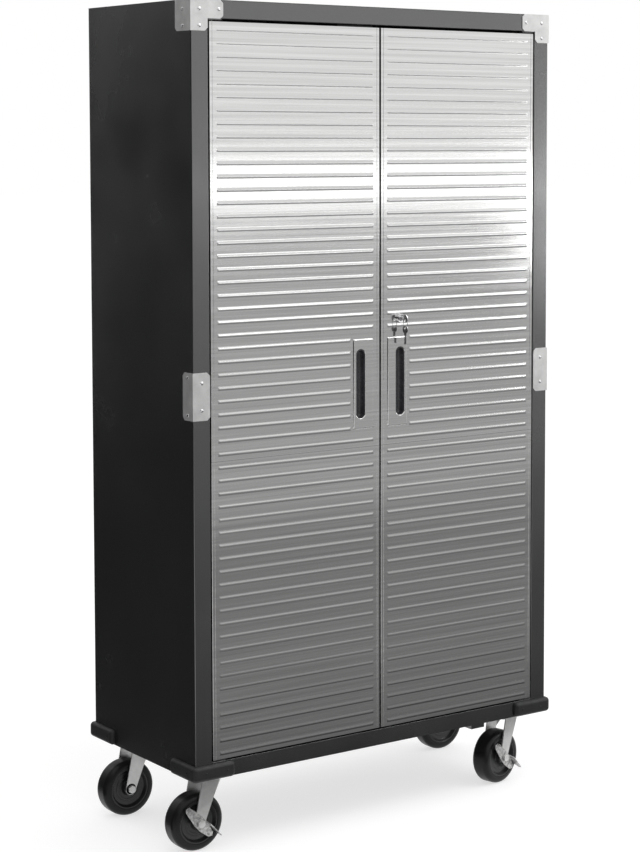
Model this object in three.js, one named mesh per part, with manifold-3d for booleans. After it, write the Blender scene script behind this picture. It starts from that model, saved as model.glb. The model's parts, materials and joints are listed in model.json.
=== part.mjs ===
// Two-door metal storage cabinet on four swivel casters.
// Millimetres, +Z up. The doors face -Y and the floor is Z = 0.
import * as THREE from 'three';
import { mergeVertices } from 'three/addons/utils/BufferGeometryUtils.js';
import Module from 'manifold-3d';

const wasm = await Module();
wasm.setup();

// Whole cabinet
const bodyWidth = 965;
const bodyDepth = 450;
const bodyHeight = 1660;
const casterHeight = 170;
const bodySetback = 10;

// Clearances shared by all pieces
const seatGap = 0.3;
const cutOverrun = 2;

// Folded side panels with their front posts
const wallSheet = 1.2;
const postWidth = 41.5;
const frameDepth = 36;
const postLip = 12;
const rearFlange = 18;

// Header, back and base
const headerHeight = 40;
const headerLip = 12;
const backSheet = 0.9;
const baseHeight = 36;
const baseLip = 20;
const cornerPlateLength = 128;
const cornerPlateDepth = 118;
const cornerPlateSheet = 3;
const tieTabWidth = 38;
const tieTabDepth = 24;
const tieTabDrop = 11;
const tieTabCentre = 285;
const tieTabSetback = 6;

// Doors
const doorSideGap = 2.5;
const doorTopGap = 5.5;
const doorBottomGap = 4;
const doorMiddleGap = 4;
const doorThickness = 20;
const panSheet = 1;
const skinSheet = 0.8;
const skinReturn = 9;
const lowerSkinHeight = 644.5;
const skinSeam = 0.6;

// Pressed beads of the door skins
const beadPitch = 28.1;
const beadHeight = 1.6;
const beadWidth = 6;
const beadCrown = 2.4;
const beadSideMargin = 14;
const beadEndMargin = 12.5;
const beadPadGap = 6;

// Raised handle pad, finger slot and cup
const padEdgeMargin = 17;
const padWidth = 55;
const padHeight = 202;
const padBottomAboveSeam = 40.5;
const padRise = 2;
const padSlope = 1.5;
const slotFromEdge = 52;
const slotWidth = 23;
const slotHeight = 153;
const cupDepth = 17;
const cupSheet = 1.2;

// Cylinder lock, cam and rods
const lockAbovePad = 40.5;
const bezelRadius = 10;
const bezelLength = 6;
const barrelRadius = 8;
const barrelNutRadius = 12;
const barrelNutLength = 3;
const plugRadius = 5.2;
const plugFront = 0.8;
const keywayWidth = 2.6;
const keywayHeight = 7;
const keywayDepth = 18;
const camSheet = 2.5;
const camHubRadius = 13;
const camFingerLength = 70;
const camFingerWidth = 16;
const crankRadius = 10;
const crankPinRadius = 2;
const crankPinLength = 4.3;
const yokePinGap = 0.6;
const rodWidth = 14;
const rodSheet = 3;
const rodOffset = 8.5;
const guideHeight = 14;
const guideWall = 3;
const guideInset = 90;
const rodGuideGap = 0.6;
const rodHoleGap = 1.5;

// Key and spare key
const keySheet = 2;
const keyBladeHeight = 6;
const keyBladeLength = 16;
const keyNeckLength = 5;
const keyBowRadius = 9;
const keyBowHole = 3;
const keyBowOffset = 4;
const ringRadius = 6;
const ringWire = 0.8;
const spareBladeLength = 24;

// Pivot hinges
const pivotFromEdge = 8;
const pivotFromFront = 5;
const pivotPinRadius = 2.5;
const pivotPinGap = 0.4;
const pivotPinReach = 12;
const pivotPlateLength = 34;
const pivotPlateDepth = 20;
const pivotPlateSheet = 2;

// Shelves, slotted uprights and clips
const shelfCount = 4;
const shelfSheet = 1;
const shelfHem = 25;
const shelfHemReturn = 12;
const shelfFrontInset = 42;
const shelfRearGap = 8;
const shelfSideGap = 1.5;
const uprightWidth = 20;
const uprightDepth = 13;
const uprightInset = 62;
const uprightSlotPitch = 80;
const uprightSlotHeight = 14;
const uprightSlotWidth = 4;
const clipLength = 11;
const clipWidth = 14;
const clipHeight = 12;

// Magnetic catch
const catchWidth = 96;
const catchHeight = 22;
const catchDepth = 13;

// Front corner brackets
const bracketSheet = 1.5;
const bracketClip = 7;
const topBracketAcross = 78;
const topBracketDown = 66;
const topBracketArm = 40;
const topBracketSide = 62;
const midBracketHeight = 102;
const midBracketSide = 40;
const midBracketFront = 40.5;
const rivetRadius = 3.4;
const rivetHeight = 1.5;
const rivetCrown = 1.8;
const rivetEdge = 11;
const rivetRow = 20;

// Corner bumpers
const bumperReach = 11;
const bumperArm = 94;
const bumperHeight = 34;
const bumperRound = 4;
const bumperEdge = 3;
const bumperScrewRadius = 3;
const bumperScrewHead = 0.8;
const bumperScrewPlaces = [21, 74];

// Casters
const casterInsetX = 68;
const casterInsetY = 72;
const casterTrail = 32;
const frontRightTurn = 13;
const casterPlateLength = 95;
const casterPlateDepth = 70;
const casterPlateSheet = 3;
const raceRadius = 26;
const raceHeight = 9;
const kingPinRadius = 7;
const kingHeadRadius = 11;
const kingHeadHeight = 4;
const casterBoltRadius = 6;
const casterBoltHeight = 5;
const casterBoltInset = 11;
const wheelRadius = 63.5;
const wheelTread = 45;
const wheelHubWidth = 48;
const wheelHubRadius = 19;
const wheelCrown = 2;
const wheelEdge = 6;
const wheelShoulder = 8;
const wheelRimBand = 16;
const wheelDish = 8;
const forkCrownRadius = 28;
const forkCrownSheet = 4;
const forkInside = 51;
const forkSheet = 3;
const forkLegTop = 44;
const forkBossRadius = 13;
const forkFlange = 15;
const forkFoldZ = 118;
const axleRadius = 6;
const axleGap = 0.4;
const axleHeadRadius = 9.5;
const axleHeadHeight = 6;

// Brake levers of the front casters
const leverSheet = 2.2;
const leverTilt = -48;
const leverHeel = 38;
const leverToe = 43;
const leverHalfWidth = 13;
const leverLipStart = 4;
const leverLipEnd = 52;
const leverLipReach = 15;
const leverHeelLip = 8;
const leverHeelLipFrom = 34;
const leverHeelLipTo = 19;
const leverHeelLipHigh = 7.1;
const leverLeafShares = [
  [-1, -0.3], [-0.8, -0.85], [-0.2, -1], [0.3, -1], [0.85, -0.6],
  [1, 0], [0.9, 0.5], [0.3, 1], [-0.3, 1], [-0.9, 0.55],
];

// Round shapes are faceted with these counts
const fineFacets = 24;
const roundFacets = 16;
const smallFacets = 8;

// Places worked out from the sizes above
const halfWidth = bodyWidth / 2;
const frontY = -bodyDepth / 2;
const backY = bodyDepth / 2;
const baseZ = casterHeight;
const topZ = casterHeight + bodyHeight;
const underTopZ = topZ - wallSheet - seatGap;
const floorZ = baseZ + baseHeight;
const headerZ = topZ - headerHeight;
const doorLowZ = floorZ + doorBottomGap;
const doorHighZ = headerZ - doorTopGap;
const seamZ = doorLowZ + lowerSkinHeight;
const doorOuterX = halfWidth - postWidth - doorSideGap;
const doorInnerX = doorMiddleGap / 2;
const doorBackY = frontY + doorThickness;
const padLowZ = seamZ + padBottomAboveSeam;
const padHighZ = padLowZ + padHeight;
const padMidZ = (padLowZ + padHighZ) / 2;
const lockX = doorInnerX + slotFromEdge;
const lockZ = padHighZ + lockAbovePad;
const barrelEndY = doorBackY + seatGap + barrelNutLength;
const camFrontY = barrelEndY + seatGap;
const camBackY = camFrontY + camSheet;
const rodFrontY = camBackY + rodGuideGap;
const rodBackY = rodFrontY + rodSheet;
const crankRise = crankRadius * Math.SQRT1_2;
const innerWallX = halfWidth - wallSheet - seatGap;
const backInnerY = backY - wallSheet - seatGap - backSheet;
const shelfHalfX = innerWallX - uprightDepth - shelfSideGap;
const shelfFrontY = frontY + shelfFrontInset;
const shelfBackY = backInnerY - shelfRearGap;

// Finishes
function finish(color, roughness, metalness) {
  return new THREE.MeshStandardMaterial({ color, roughness, metalness });
}
const blackPaint = finish(0x1c1c1e, 0.45, 0.2);
const stainless = finish(0xb9bbbd, 0.3, 0.95);
const zinc = finish(0xc4c6c8, 0.4, 0.9);
const blackRubber = finish(0x141414, 0.7, 0);
const blackPlastic = finish(0x0d0d0d, 0.35, 0);
const chrome = finish(0xd8dadc, 0.12, 1);
const greyPaint = finish(0x8d8f92, 0.5, 0.2);

// Solids: closed geometry in, manifold solid out, and back
function toSolid(geometry) {
  const bare = geometry.clone();
  bare.deleteAttribute('normal');
  bare.deleteAttribute('uv');
  const merged = mergeVertices(bare);
  const index = merged.index.array;
  const kept = [];
  for (let i = 0; i < index.length; i += 3) {
    const [a, b, c] = [index[i], index[i + 1], index[i + 2]];
    if (a !== b && b !== c && c !== a) kept.push(a, b, c);
  }
  const solid = new wasm.Manifold(new wasm.Mesh({
    numProp: 3,
    vertProperties: new Float32Array(merged.attributes.position.array),
    triVerts: new Uint32Array(kept),
  }));
  return solid;
}

function toGeometry(solid) {
  const mesh = solid.getMesh();
  const geometry = new THREE.BufferGeometry();
  geometry.setAttribute('position', new THREE.BufferAttribute(new Float32Array(mesh.vertProperties), 3));
  geometry.setIndex(new THREE.BufferAttribute(new Uint32Array(mesh.triVerts), 1));
  geometry.computeVertexNormals();
  return geometry;
}

function join(first, ...rest) {
  return rest.reduce((sum, solid) => sum.add(solid), first);
}

function cut(first, ...rest) {
  return rest.reduce((left, solid) => left.subtract(solid), first);
}

// A block between two corners, given in any order
function block(x0, x1, y0, y1, z0, z1) {
  const box = new THREE.BoxGeometry(Math.abs(x1 - x0), Math.abs(y1 - y0), Math.abs(z1 - z0));
  box.translate((x0 + x1) / 2, (y0 + y1) / 2, (z0 + z1) / 2);
  return toSolid(box);
}

// Each axis of a prism with the directions that its outline is drawn in
const prismBases = {
  x: [new THREE.Vector3(0, 1, 0), new THREE.Vector3(0, 0, 1), new THREE.Vector3(1, 0, 0)],
  y: [new THREE.Vector3(1, 0, 0), new THREE.Vector3(0, 0, 1), new THREE.Vector3(0, -1, 0)],
  z: [new THREE.Vector3(1, 0, 0), new THREE.Vector3(0, 1, 0), new THREE.Vector3(0, 0, 1)],
};

// An outline carried along an axis: its points are (Y, Z), (X, Z) or (X, Y)
function prism(axis, outline, low, high) {
  const shape = Array.isArray(outline)
    ? new THREE.Shape(outline.map(([u, v]) => new THREE.Vector2(u, v)))
    : outline;
  const bar = new THREE.ExtrudeGeometry(shape, {
    depth: high - low,
    bevelEnabled: false,
    curveSegments: roundFacets / 2,
  });
  bar.applyMatrix4(new THREE.Matrix4().makeBasis(...prismBases[axis]));
  const start = axis === 'y' ? high : low;
  bar.translate(axis === 'x' ? start : 0, axis === 'y' ? start : 0, axis === 'z' ? start : 0);
  return toSolid(bar);
}

// A round bar or cone along an axis, with its centre line at (u, v)
function rod(axis, u, v, low, high, lowRadius, highRadius = lowRadius, facets = roundFacets) {
  const bar = new THREE.CylinderGeometry(highRadius, lowRadius, high - low, facets);
  if (axis === 'x') bar.rotateZ(-Math.PI / 2);
  if (axis === 'z') bar.rotateX(Math.PI / 2);
  const middle = (low + high) / 2;
  const place = { x: [middle, u, v], y: [u, middle, v], z: [u, v, middle] };
  bar.translate(...place[axis]);
  return toSolid(bar);
}

// A ring turned about the Y axis from a closed profile of (radius, y)
function turned(profile, facets) {
  const points = profile.map(([radius, y]) => new THREE.Vector2(radius, y)).reverse();
  return toSolid(new THREE.LatheGeometry([...points, points[0]], facets));
}

// The far side of a bent sheet: its path moved sideways by the sheet's thickness
function shiftedPath(path, shift, closed = false) {
  const count = path.length;
  return path.map((point, i) => {
    const before = closed || i > 0 ? path[(i + count - 1) % count] : null;
    const after = closed || i < count - 1 ? path[(i + 1) % count] : null;
    const normals = [];
    for (const [from, to] of [[before, point], [point, after]]) {
      if (!from || !to) continue;
      const length = Math.hypot(to[0] - from[0], to[1] - from[1]);
      normals.push([-(to[1] - from[1]) / length, (to[0] - from[0]) / length]);
    }
    if (normals.length === 1) return [point[0] + normals[0][0] * shift, point[1] + normals[0][1] * shift];
    const [m, n] = normals;
    const stretch = shift / (1 + m[0] * n[0] + m[1] * n[1]);
    return [point[0] + (m[0] + n[0]) * stretch, point[1] + (m[1] + n[1]) * stretch];
  });
}

// A bent sheet seen end on: the path and its shifted far side
function bentSheet(path, thickness) {
  return [...path, ...shiftedPath(path, thickness).reverse()];
}

// A solid whose outline changes evenly from its foot to its head
function loft(lowOutline, lowZ, highOutline, highZ) {
  const flat = lowOutline.map(([x, y]) => new THREE.Vector2(x, y));
  const reversed = THREE.ShapeUtils.isClockWise(flat);
  const count = flat.length;
  const low = reversed ? [...lowOutline].reverse() : lowOutline;
  const high = reversed ? [...highOutline].reverse() : highOutline;
  if (reversed) flat.reverse();
  const positions = [];
  for (const [x, y] of low) positions.push(x, y, lowZ);
  for (const [x, y] of high) positions.push(x, y, highZ);
  const faces = [];
  for (const [a, b, c] of THREE.ShapeUtils.triangulateShape(flat, [])) {
    faces.push(c, b, a);
    faces.push(a + count, b + count, c + count);
  }
  for (let i = 0; i < count; i += 1) {
    const j = (i + 1) % count;
    faces.push(i, j, j + count);
    faces.push(i, j + count, i + count);
  }
  const geometry = new THREE.BufferGeometry();
  geometry.setAttribute('position', new THREE.BufferAttribute(new Float32Array(positions), 3));
  geometry.setIndex(faces);
  return toSolid(geometry);
}

// A slot outline with round ends, upright, centred on (x, z)
function slotOutline(x, z, width, height) {
  const radius = width / 2;
  const straight = height / 2 - radius;
  const shape = new THREE.Shape();
  shape.absarc(x, z + straight, radius, 0, Math.PI, false);
  shape.absarc(x, z - straight, radius, Math.PI, Math.PI * 2, false);
  shape.closePath();
  return shape;
}

const cabinet = new THREE.Group();
cabinet.position.y = bodySetback;

function addPiece(name, solid, material, parent = cabinet) {
  const mesh = new THREE.Mesh(toGeometry(solid), material);
  mesh.name = name;
  parent.add(mesh);
  return mesh;
}

const sides = { left: -1, right: 1 };

// Side panels: outer wall, front post and rear flange folded from one sheet
function sidePanel(side) {
  const path = [
    [side * (halfWidth - rearFlange), backY],
    [side * halfWidth, backY],
    [side * halfWidth, frontY],
    [side * (halfWidth - postWidth), frontY],
    [side * (halfWidth - postWidth), frontY + frameDepth],
    [side * (halfWidth - postWidth + postLip), frontY + frameDepth],
  ];
  return prism('z', bentSheet(path, -side * wallSheet), baseZ, underTopZ);
}
for (const [name, side] of Object.entries(sides)) {
  addPiece(`${name}_side_panel`, sidePanel(side), blackPaint);
}

// Top and back panels
addPiece('top_panel', block(-halfWidth, halfWidth, frontY, backY, topZ - wallSheet, topZ), blackPaint);
addPiece(
  'back_panel',
  block(-innerWallX, innerWallX, backInnerY, backInnerY + backSheet, baseZ, underTopZ),
  blackPaint,
);

// Header rail between the posts, with a hole for the upper lock rod
const railHalfX = halfWidth - postWidth - seatGap;
const rodHoleY = (rodFrontY + rodBackY) / 2;

function rodHole(x, zLow, zHigh) {
  return block(
    x - rodWidth / 2 - rodHoleGap, x + rodWidth / 2 + rodHoleGap,
    rodHoleY - rodSheet / 2 - rodHoleGap, rodHoleY + rodSheet / 2 + rodHoleGap,
    zLow, zHigh,
  );
}
const headerPath = [
  [frontY + headerLip, underTopZ],
  [frontY, underTopZ],
  [frontY, headerZ],
  [frontY + frameDepth, headerZ],
  [frontY + frameDepth, headerZ + headerLip],
];
addPiece(
  'header_rail',
  cut(
    prism('x', bentSheet(headerPath, wallSheet), -railHalfX, railHalfX),
    rodHole(lockX + rodOffset, headerZ - cutOverrun, headerZ + wallSheet + cutOverrun),
  ),
  blackPaint,
);

// Base frame: floor, skirts, bottom lips and caster plates welded into one tray
const baseBackY = backInnerY - seatGap;
const postBackY = frontY + frameDepth + seatGap;
const baseOutline = [
  [-railHalfX, frontY],
  [railHalfX, frontY],
  [railHalfX, postBackY],
  [innerWallX, postBackY],
  [innerWallX, baseBackY],
  [-innerWallX, baseBackY],
  [-innerWallX, postBackY],
  [-railHalfX, postBackY],
];

function baseFrame() {
  const skirtInside = shiftedPath(baseOutline, wallSheet, true);
  const lipInside = shiftedPath(baseOutline, baseLip, true);
  let tray = prism('z', baseOutline, baseZ, floorZ);
  tray = cut(tray, prism('z', skirtInside, baseZ + wallSheet, floorZ - wallSheet));
  tray = cut(tray, prism('z', lipInside, baseZ - cutOverrun, baseZ + wallSheet + cutOverrun));
  for (const sx of Object.values(sides)) {
    for (const sy of [-1, 1]) {
      const outerY = sy < 0 ? postBackY : baseBackY;
      tray = join(tray, block(
        sx * innerWallX, sx * (innerWallX - cornerPlateLength),
        outerY, outerY - sy * cornerPlateDepth,
        baseZ, baseZ + cornerPlateSheet,
      ));
    }
  }
  const tabFrontY = frontY + tieTabSetback;
  tray = join(tray, block(
    tieTabCentre - tieTabWidth / 2, tieTabCentre + tieTabWidth / 2,
    tabFrontY, tabFrontY + tieTabDepth,
    baseZ - tieTabDrop, baseZ + wallSheet,
  ));
  return cut(tray, rodHole(lockX - rodOffset, floorZ - wallSheet - cutOverrun, floorZ + cutOverrun));
}
addPiece('base_frame', baseFrame(), blackPaint);

// Corner bumpers: L-shaped, rounded outside, held by two screws on each arm
function bumperOutline() {
  const end = bumperArm - bumperRound;
  const shape = new THREE.Shape();
  shape.moveTo(-seatGap, -seatGap);
  shape.lineTo(bumperArm, -seatGap);
  shape.lineTo(bumperArm, -bumperReach + bumperRound);
  shape.absarc(end, -bumperReach + bumperRound, bumperRound, 0, -Math.PI / 2, true);
  shape.absarc(0, 0, bumperReach, -Math.PI / 2, -Math.PI, true);
  shape.absarc(-bumperReach + bumperRound, end, bumperRound, Math.PI, Math.PI / 2, true);
  shape.lineTo(-seatGap, bumperArm);
  shape.closePath();
  return shape;
}

// One outline sloped in at its top and bottom by a bevel
function bumperBody() {
  const bar = new THREE.ExtrudeGeometry(bumperOutline(), {
    depth: bumperHeight - 2 * bumperEdge,
    bevelEnabled: true,
    bevelThickness: bumperEdge,
    bevelSize: bumperEdge,
    bevelOffset: -bumperEdge,
    bevelSegments: 1,
    curveSegments: roundFacets / 4,
  });
  bar.translate(0, 0, baseZ + bumperEdge);
  return toSolid(bar);
}

function bumper() {
  let body = bumperBody();
  const screwZ = baseZ + bumperHeight / 2;
  for (const along of bumperScrewPlaces) {
    const outside = -bumperReach - bumperScrewHead;
    const inside = -bumperReach + bumperScrewHead;
    body = join(
      body,
      rod('y', along, screwZ, outside, inside, bumperScrewRadius, bumperScrewRadius, smallFacets),
      rod('x', along, screwZ, outside, inside, bumperScrewRadius, bumperScrewRadius, smallFacets),
    );
  }
  return body;
}
const bumperCorners = [
  ['front_left', -halfWidth, frontY, 0],
  ['front_right', halfWidth, frontY, Math.PI / 2],
  ['rear_right', halfWidth, backY, Math.PI],
  ['rear_left', -halfWidth, backY, -Math.PI / 2],
];
for (const [place, x, y, turn] of bumperCorners) {
  const mesh = addPiece(`bumper_${place}`, bumper(), blackRubber);
  mesh.position.set(x, y, 0);
  mesh.rotation.z = turn;
}

// Rivet heads on the plates of the front brackets
const plateFrontY = frontY - seatGap - bracketSheet;

function frontRivet(x, z) {
  const under = plateFrontY + bracketSheet / 2;
  return rod('y', x, z, plateFrontY - rivetHeight, under, rivetCrown, rivetRadius, smallFacets);
}

function sideRivet(side, y, z) {
  const plateX = halfWidth + seatGap + bracketSheet;
  const [low, high] = [plateX - bracketSheet / 2, plateX + rivetHeight];
  if (side > 0) return rod('x', y, z, low, high, rivetRadius, rivetCrown, smallFacets);
  return rod('x', y, z, -high, -low, rivetCrown, rivetRadius, smallFacets);
}

// The side flange of a bracket, with its two rear corners clipped
function sideFlange(side, depth, lowZ, highZ, clipHigh) {
  const nearX = side * (halfWidth + seatGap);
  const farX = side * (halfWidth + seatGap + bracketSheet);
  const rearY = frontY + depth;
  const outline = [
    [plateFrontY, lowZ],
    [rearY - bracketClip, lowZ],
    [rearY, lowZ + bracketClip],
    [rearY, clipHigh ? highZ - bracketClip : highZ],
    [clipHigh ? rearY - bracketClip : rearY - bracketClip / 2, highZ],
    [plateFrontY, highZ],
  ];
  return prism('x', outline, Math.min(nearX, farX), Math.max(nearX, farX));
}

// Top corner brackets: an L over post and header, folded round the side
function topBracket(side) {
  const at = (inward) => side * (halfWidth + seatGap + bracketSheet - inward);
  const foldIn = bracketSheet + seatGap;
  const lowZ = topZ - topBracketDown;
  const armZ = topZ - topBracketArm;
  const outline = [
    [at(0), lowZ],
    [at(foldIn + topBracketArm - bracketClip), lowZ],
    [at(foldIn + topBracketArm), lowZ + bracketClip],
    [at(foldIn + topBracketArm), armZ],
    [at(foldIn + topBracketAcross - bracketClip), armZ],
    [at(foldIn + topBracketAcross), armZ + bracketClip],
    [at(foldIn + topBracketAcross), topZ - bracketClip],
    [at(foldIn + topBracketAcross - bracketClip), topZ],
    [at(0), topZ],
  ];
  const cornerX = side * (halfWidth - rivetRow);
  const farX = side * (halfWidth - topBracketAcross + rivetEdge);
  const highRow = topZ - rivetRow;
  const lowRow = lowZ + rivetEdge;
  const sideRowY = frontY + topBracketSide / 2;
  return join(
    prism('y', outline, plateFrontY, frontY - seatGap),
    sideFlange(side, topBracketSide, lowZ, topZ, false),
    frontRivet(cornerX, highRow),
    frontRivet(farX, highRow),
    frontRivet(cornerX, lowRow),
    sideRivet(side, sideRowY, highRow),
    sideRivet(side, sideRowY, lowRow),
  );
}

// Middle brackets: a plate round the edge of each post
function midBracket(side) {
  const at = (inward) => side * (halfWidth + seatGap + bracketSheet - inward);
  const foldIn = bracketSheet + seatGap;
  const lowZ = padMidZ - midBracketHeight / 2;
  const highZ = lowZ + midBracketHeight;
  const outline = [
    [at(0), lowZ],
    [at(foldIn + midBracketFront - bracketClip), lowZ],
    [at(foldIn + midBracketFront), lowZ + bracketClip],
    [at(foldIn + midBracketFront), highZ - bracketClip],
    [at(foldIn + midBracketFront - bracketClip), highZ],
    [at(0), highZ],
  ];
  const frontX = side * (halfWidth - rivetRow);
  const sideRowY = frontY + midBracketSide / 2;
  const frontRow = rivetEdge * 2;
  return join(
    prism('y', outline, plateFrontY, frontY - seatGap),
    sideFlange(side, midBracketSide, lowZ, highZ, true),
    frontRivet(frontX, lowZ + frontRow),
    frontRivet(frontX, highZ - frontRow),
    sideRivet(side, sideRowY, lowZ + rivetEdge),
    sideRivet(side, sideRowY, highZ - rivetEdge),
  );
}
for (const [name, side] of Object.entries(sides)) {
  addPiece(`top_bracket_${name}`, topBracket(side), zinc);
  addPiece(`mid_bracket_${name}`, midBracket(side), zinc);
}

// Pivot hinges: a plate on the header or the floor with a pin into the door
const pivotY = frontY + pivotFromFront;

function pivotHinge(side, atTop) {
  const pivotX = side * (doorOuterX - pivotFromEdge);
  const plateX0 = side * railHalfX;
  const plateX1 = side * (railHalfX - pivotPlateLength);
  const plateY = frontY + pivotPlateSheet;
  const away = atTop ? -1 : 1;
  const seatZ = (atTop ? headerZ : floorZ) + away * seatGap;
  const plateEndZ = seatZ + away * pivotPlateSheet;
  const pinEndZ = (atTop ? doorHighZ : doorLowZ) + away * pivotPinReach;
  const pinStartZ = (seatZ + plateEndZ) / 2;
  return join(
    block(plateX0, plateX1, plateY, plateY + pivotPlateDepth, seatZ, plateEndZ),
    rod('z', pivotX, pivotY, Math.min(pinStartZ, pinEndZ), Math.max(pinStartZ, pinEndZ), pivotPinRadius),
  );
}
for (const [name, side] of Object.entries(sides)) {
  addPiece(`upper_pivot_${name}`, pivotHinge(side, true), zinc);
  addPiece(`lower_pivot_${name}`, pivotHinge(side, false), zinc);
}

// A pressed form of a door skin: a straight-sided rise on its front face
function raisedForm(lowOutline, highOutline, rise) {
  return loft(lowOutline, 0, highOutline, rise).transform([
    1, 0, 0, 0,
    0, 0, 1, 0,
    0, -1, 0, 0,
    0, frontY, 0, 1,
  ]);
}

function rectangle(x0, x1, z0, z1, inset = 0) {
  const [left, right] = [Math.min(x0, x1) + inset, Math.max(x0, x1) - inset];
  return [[left, z0 + inset], [right, z0 + inset], [right, z1 - inset], [left, z1 - inset]];
}

// One pressed bead: a low ridge with sloped flanks and ends
function bead(x0, x1, z) {
  const slope = (beadWidth - beadCrown) / 2;
  const [low, high] = [z - beadWidth / 2, z + beadWidth / 2];
  return raisedForm(rectangle(x0, x1, low, high), rectangle(x0, x1, low, high, slope), beadHeight);
}

// Ribbed stainless sheet over one part of a door front
function doorSkin(side, lowZ, highZ) {
  const outerX = side * doorOuterX;
  const innerX = side * doorInnerX;
  const path = [
    [outerX, frontY + skinReturn],
    [outerX, frontY],
    [innerX, frontY],
    [innerX, frontY + skinReturn],
  ];
  let skin = prism('z', bentSheet(path, -side * skinSheet), lowZ, highZ);
  const reach = highZ - lowZ - 2 * beadEndMargin;
  const beadCount = Math.floor(reach / beadPitch) + 1;
  const firstZ = (lowZ + highZ - (beadCount - 1) * beadPitch) / 2;
  const padOuterX = side * (doorInnerX + padEdgeMargin + padWidth);
  for (let i = 0; i < beadCount; i += 1) {
    const z = firstZ + i * beadPitch;
    const meetsPad = z > padLowZ && z < padHighZ;
    const farX = outerX - side * beadSideMargin;
    const nearX = meetsPad ? padOuterX + side * beadPadGap : innerX + side * beadSideMargin;
    skin = join(skin, bead(farX, nearX, z));
  }
  return skin;
}

function upperSkin(side) {
  const padX0 = side * (doorInnerX + padEdgeMargin);
  const padX1 = side * (doorInnerX + padEdgeMargin + padWidth);
  const slotX = side * lockX;
  const pad = raisedForm(
    rectangle(padX0, padX1, padLowZ, padHighZ),
    rectangle(padX0, padX1, padLowZ, padHighZ, padSlope),
    padRise,
  );
  const slot = prism(
    'y',
    slotOutline(slotX, padMidZ, slotWidth, slotHeight),
    frontY - padRise - cutOverrun, doorBackY,
  );
  let skin = cut(join(doorSkin(side, seamZ + skinSeam / 2, doorHighZ), pad), slot);
  if (side > 0) skin = cut(skin, lockHole());
  return skin;
}

// Clear hole for the lock barrel through a door
function lockHole() {
  const frontEnd = frontY - padRise - cutOverrun;
  return rod('y', lockX, lockZ, frontEnd, doorBackY + cutOverrun, barrelRadius + seatGap);
}

// Hollow door pan behind the skins, with guides for the rods on the right door
const panFrontY = frontY + skinSheet + seatGap;

function doorPan(side) {
  const outerX = side * (doorOuterX - skinSheet - seatGap);
  const innerX = side * (doorInnerX + skinSheet + seatGap);
  const pivotX = side * (doorOuterX - pivotFromEdge);
  const holeRadius = pivotPinRadius + pivotPinGap;
  let pan = cut(
    block(outerX, innerX, panFrontY, doorBackY, doorLowZ, doorHighZ),
    block(
      outerX - side * panSheet, innerX + side * panSheet,
      panFrontY + panSheet, doorBackY - panSheet,
      doorLowZ + panSheet, doorHighZ - panSheet,
    ),
    rod('z', pivotX, pivotY, doorLowZ - cutOverrun, doorLowZ + pivotPinReach, holeRadius),
    rod('z', pivotX, pivotY, doorHighZ - pivotPinReach, doorHighZ + cutOverrun, holeRadius),
    prism(
      'y',
      slotOutline(side * lockX, padMidZ, slotWidth, slotHeight),
      panFrontY - cutOverrun, panFrontY + panSheet + cutOverrun,
    ),
  );
  if (side < 0) return pan;
  pan = cut(pan, lockHole());
  const guides = [
    [lockX + rodOffset, doorHighZ - guideInset],
    [lockX + rodOffset, lockZ + guideInset],
    [lockX - rodOffset, lockZ - guideInset],
    [lockX - rodOffset, doorLowZ + guideInset],
  ];
  for (const [x, z] of guides) pan = join(pan, rodGuide(x, z));
  return pan;
}

// A bridge on the door back that a lock rod slides through
function rodGuide(x, z) {
  const passX = rodWidth / 2 + rodGuideGap;
  const [low, high] = [z - guideHeight / 2, z + guideHeight / 2];
  return cut(
    block(
      x - passX - guideWall, x + passX + guideWall,
      doorBackY - panSheet / 2, rodBackY + rodGuideGap + wallSheet,
      low, high,
    ),
    block(
      x - passX, x + passX,
      rodFrontY - rodGuideGap, rodBackY + rodGuideGap,
      low - cutOverrun, high + cutOverrun,
    ),
  );
}

// Finger cup set into the slot of a handle pad
function handleCup(side) {
  const frontFace = frontY - padRise;
  const slotX = side * lockX;
  const width = slotWidth - 2 * seatGap;
  const height = slotHeight - 2 * seatGap;
  return cut(
    prism('y', slotOutline(slotX, padMidZ, width, height), frontFace, frontFace + cupDepth),
    prism(
      'y',
      slotOutline(slotX, padMidZ, width - 2 * cupSheet, height - 2 * cupSheet),
      frontFace - cutOverrun, frontFace + cupDepth - cupSheet,
    ),
  );
}

for (const [name, side] of Object.entries(sides)) {
  addPiece(`door_${name}_pan`, doorPan(side), blackPaint);
  addPiece(`door_${name}_upper_skin`, upperSkin(side), stainless);
  addPiece(`door_${name}_lower_skin`, doorSkin(side, doorLowZ, seamZ - skinSeam / 2), stainless);
  addPiece(`handle_cup_${name}`, handleCup(side), blackPlastic);
}

// Cylinder lock of the right door: barrel with its bezel and rear nut
const bezelFrontY = frontY - seatGap - bezelLength;

function lockBarrel() {
  return cut(
    join(
      rod('y', lockX, lockZ, bezelFrontY, frontY - seatGap, bezelRadius, bezelRadius, fineFacets),
      rod('y', lockX, lockZ, frontY - bezelLength, barrelEndY, barrelRadius),
      rod('y', lockX, lockZ, doorBackY + seatGap, barrelEndY, barrelNutRadius, barrelNutRadius, 6),
    ),
    rod('y', lockX, lockZ, bezelFrontY - cutOverrun, barrelEndY + cutOverrun, plugRadius + seatGap),
  );
}
addPiece('lock_barrel', lockBarrel(), chrome);

// Plug with its keyway, turned by the key
const plugFrontY = bezelFrontY - plugFront;

function lockPlug() {
  return cut(
    rod('y', lockX, lockZ, plugFrontY, camFrontY + camSheet / 2, plugRadius),
    block(
      lockX - keywayWidth / 2, lockX + keywayWidth / 2,
      plugFrontY - cutOverrun, plugFrontY + keywayDepth,
      lockZ - keywayHeight / 2, lockZ + keywayHeight / 2,
    ),
  );
}
addPiece('lock_plug', lockPlug(), chrome);

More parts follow.
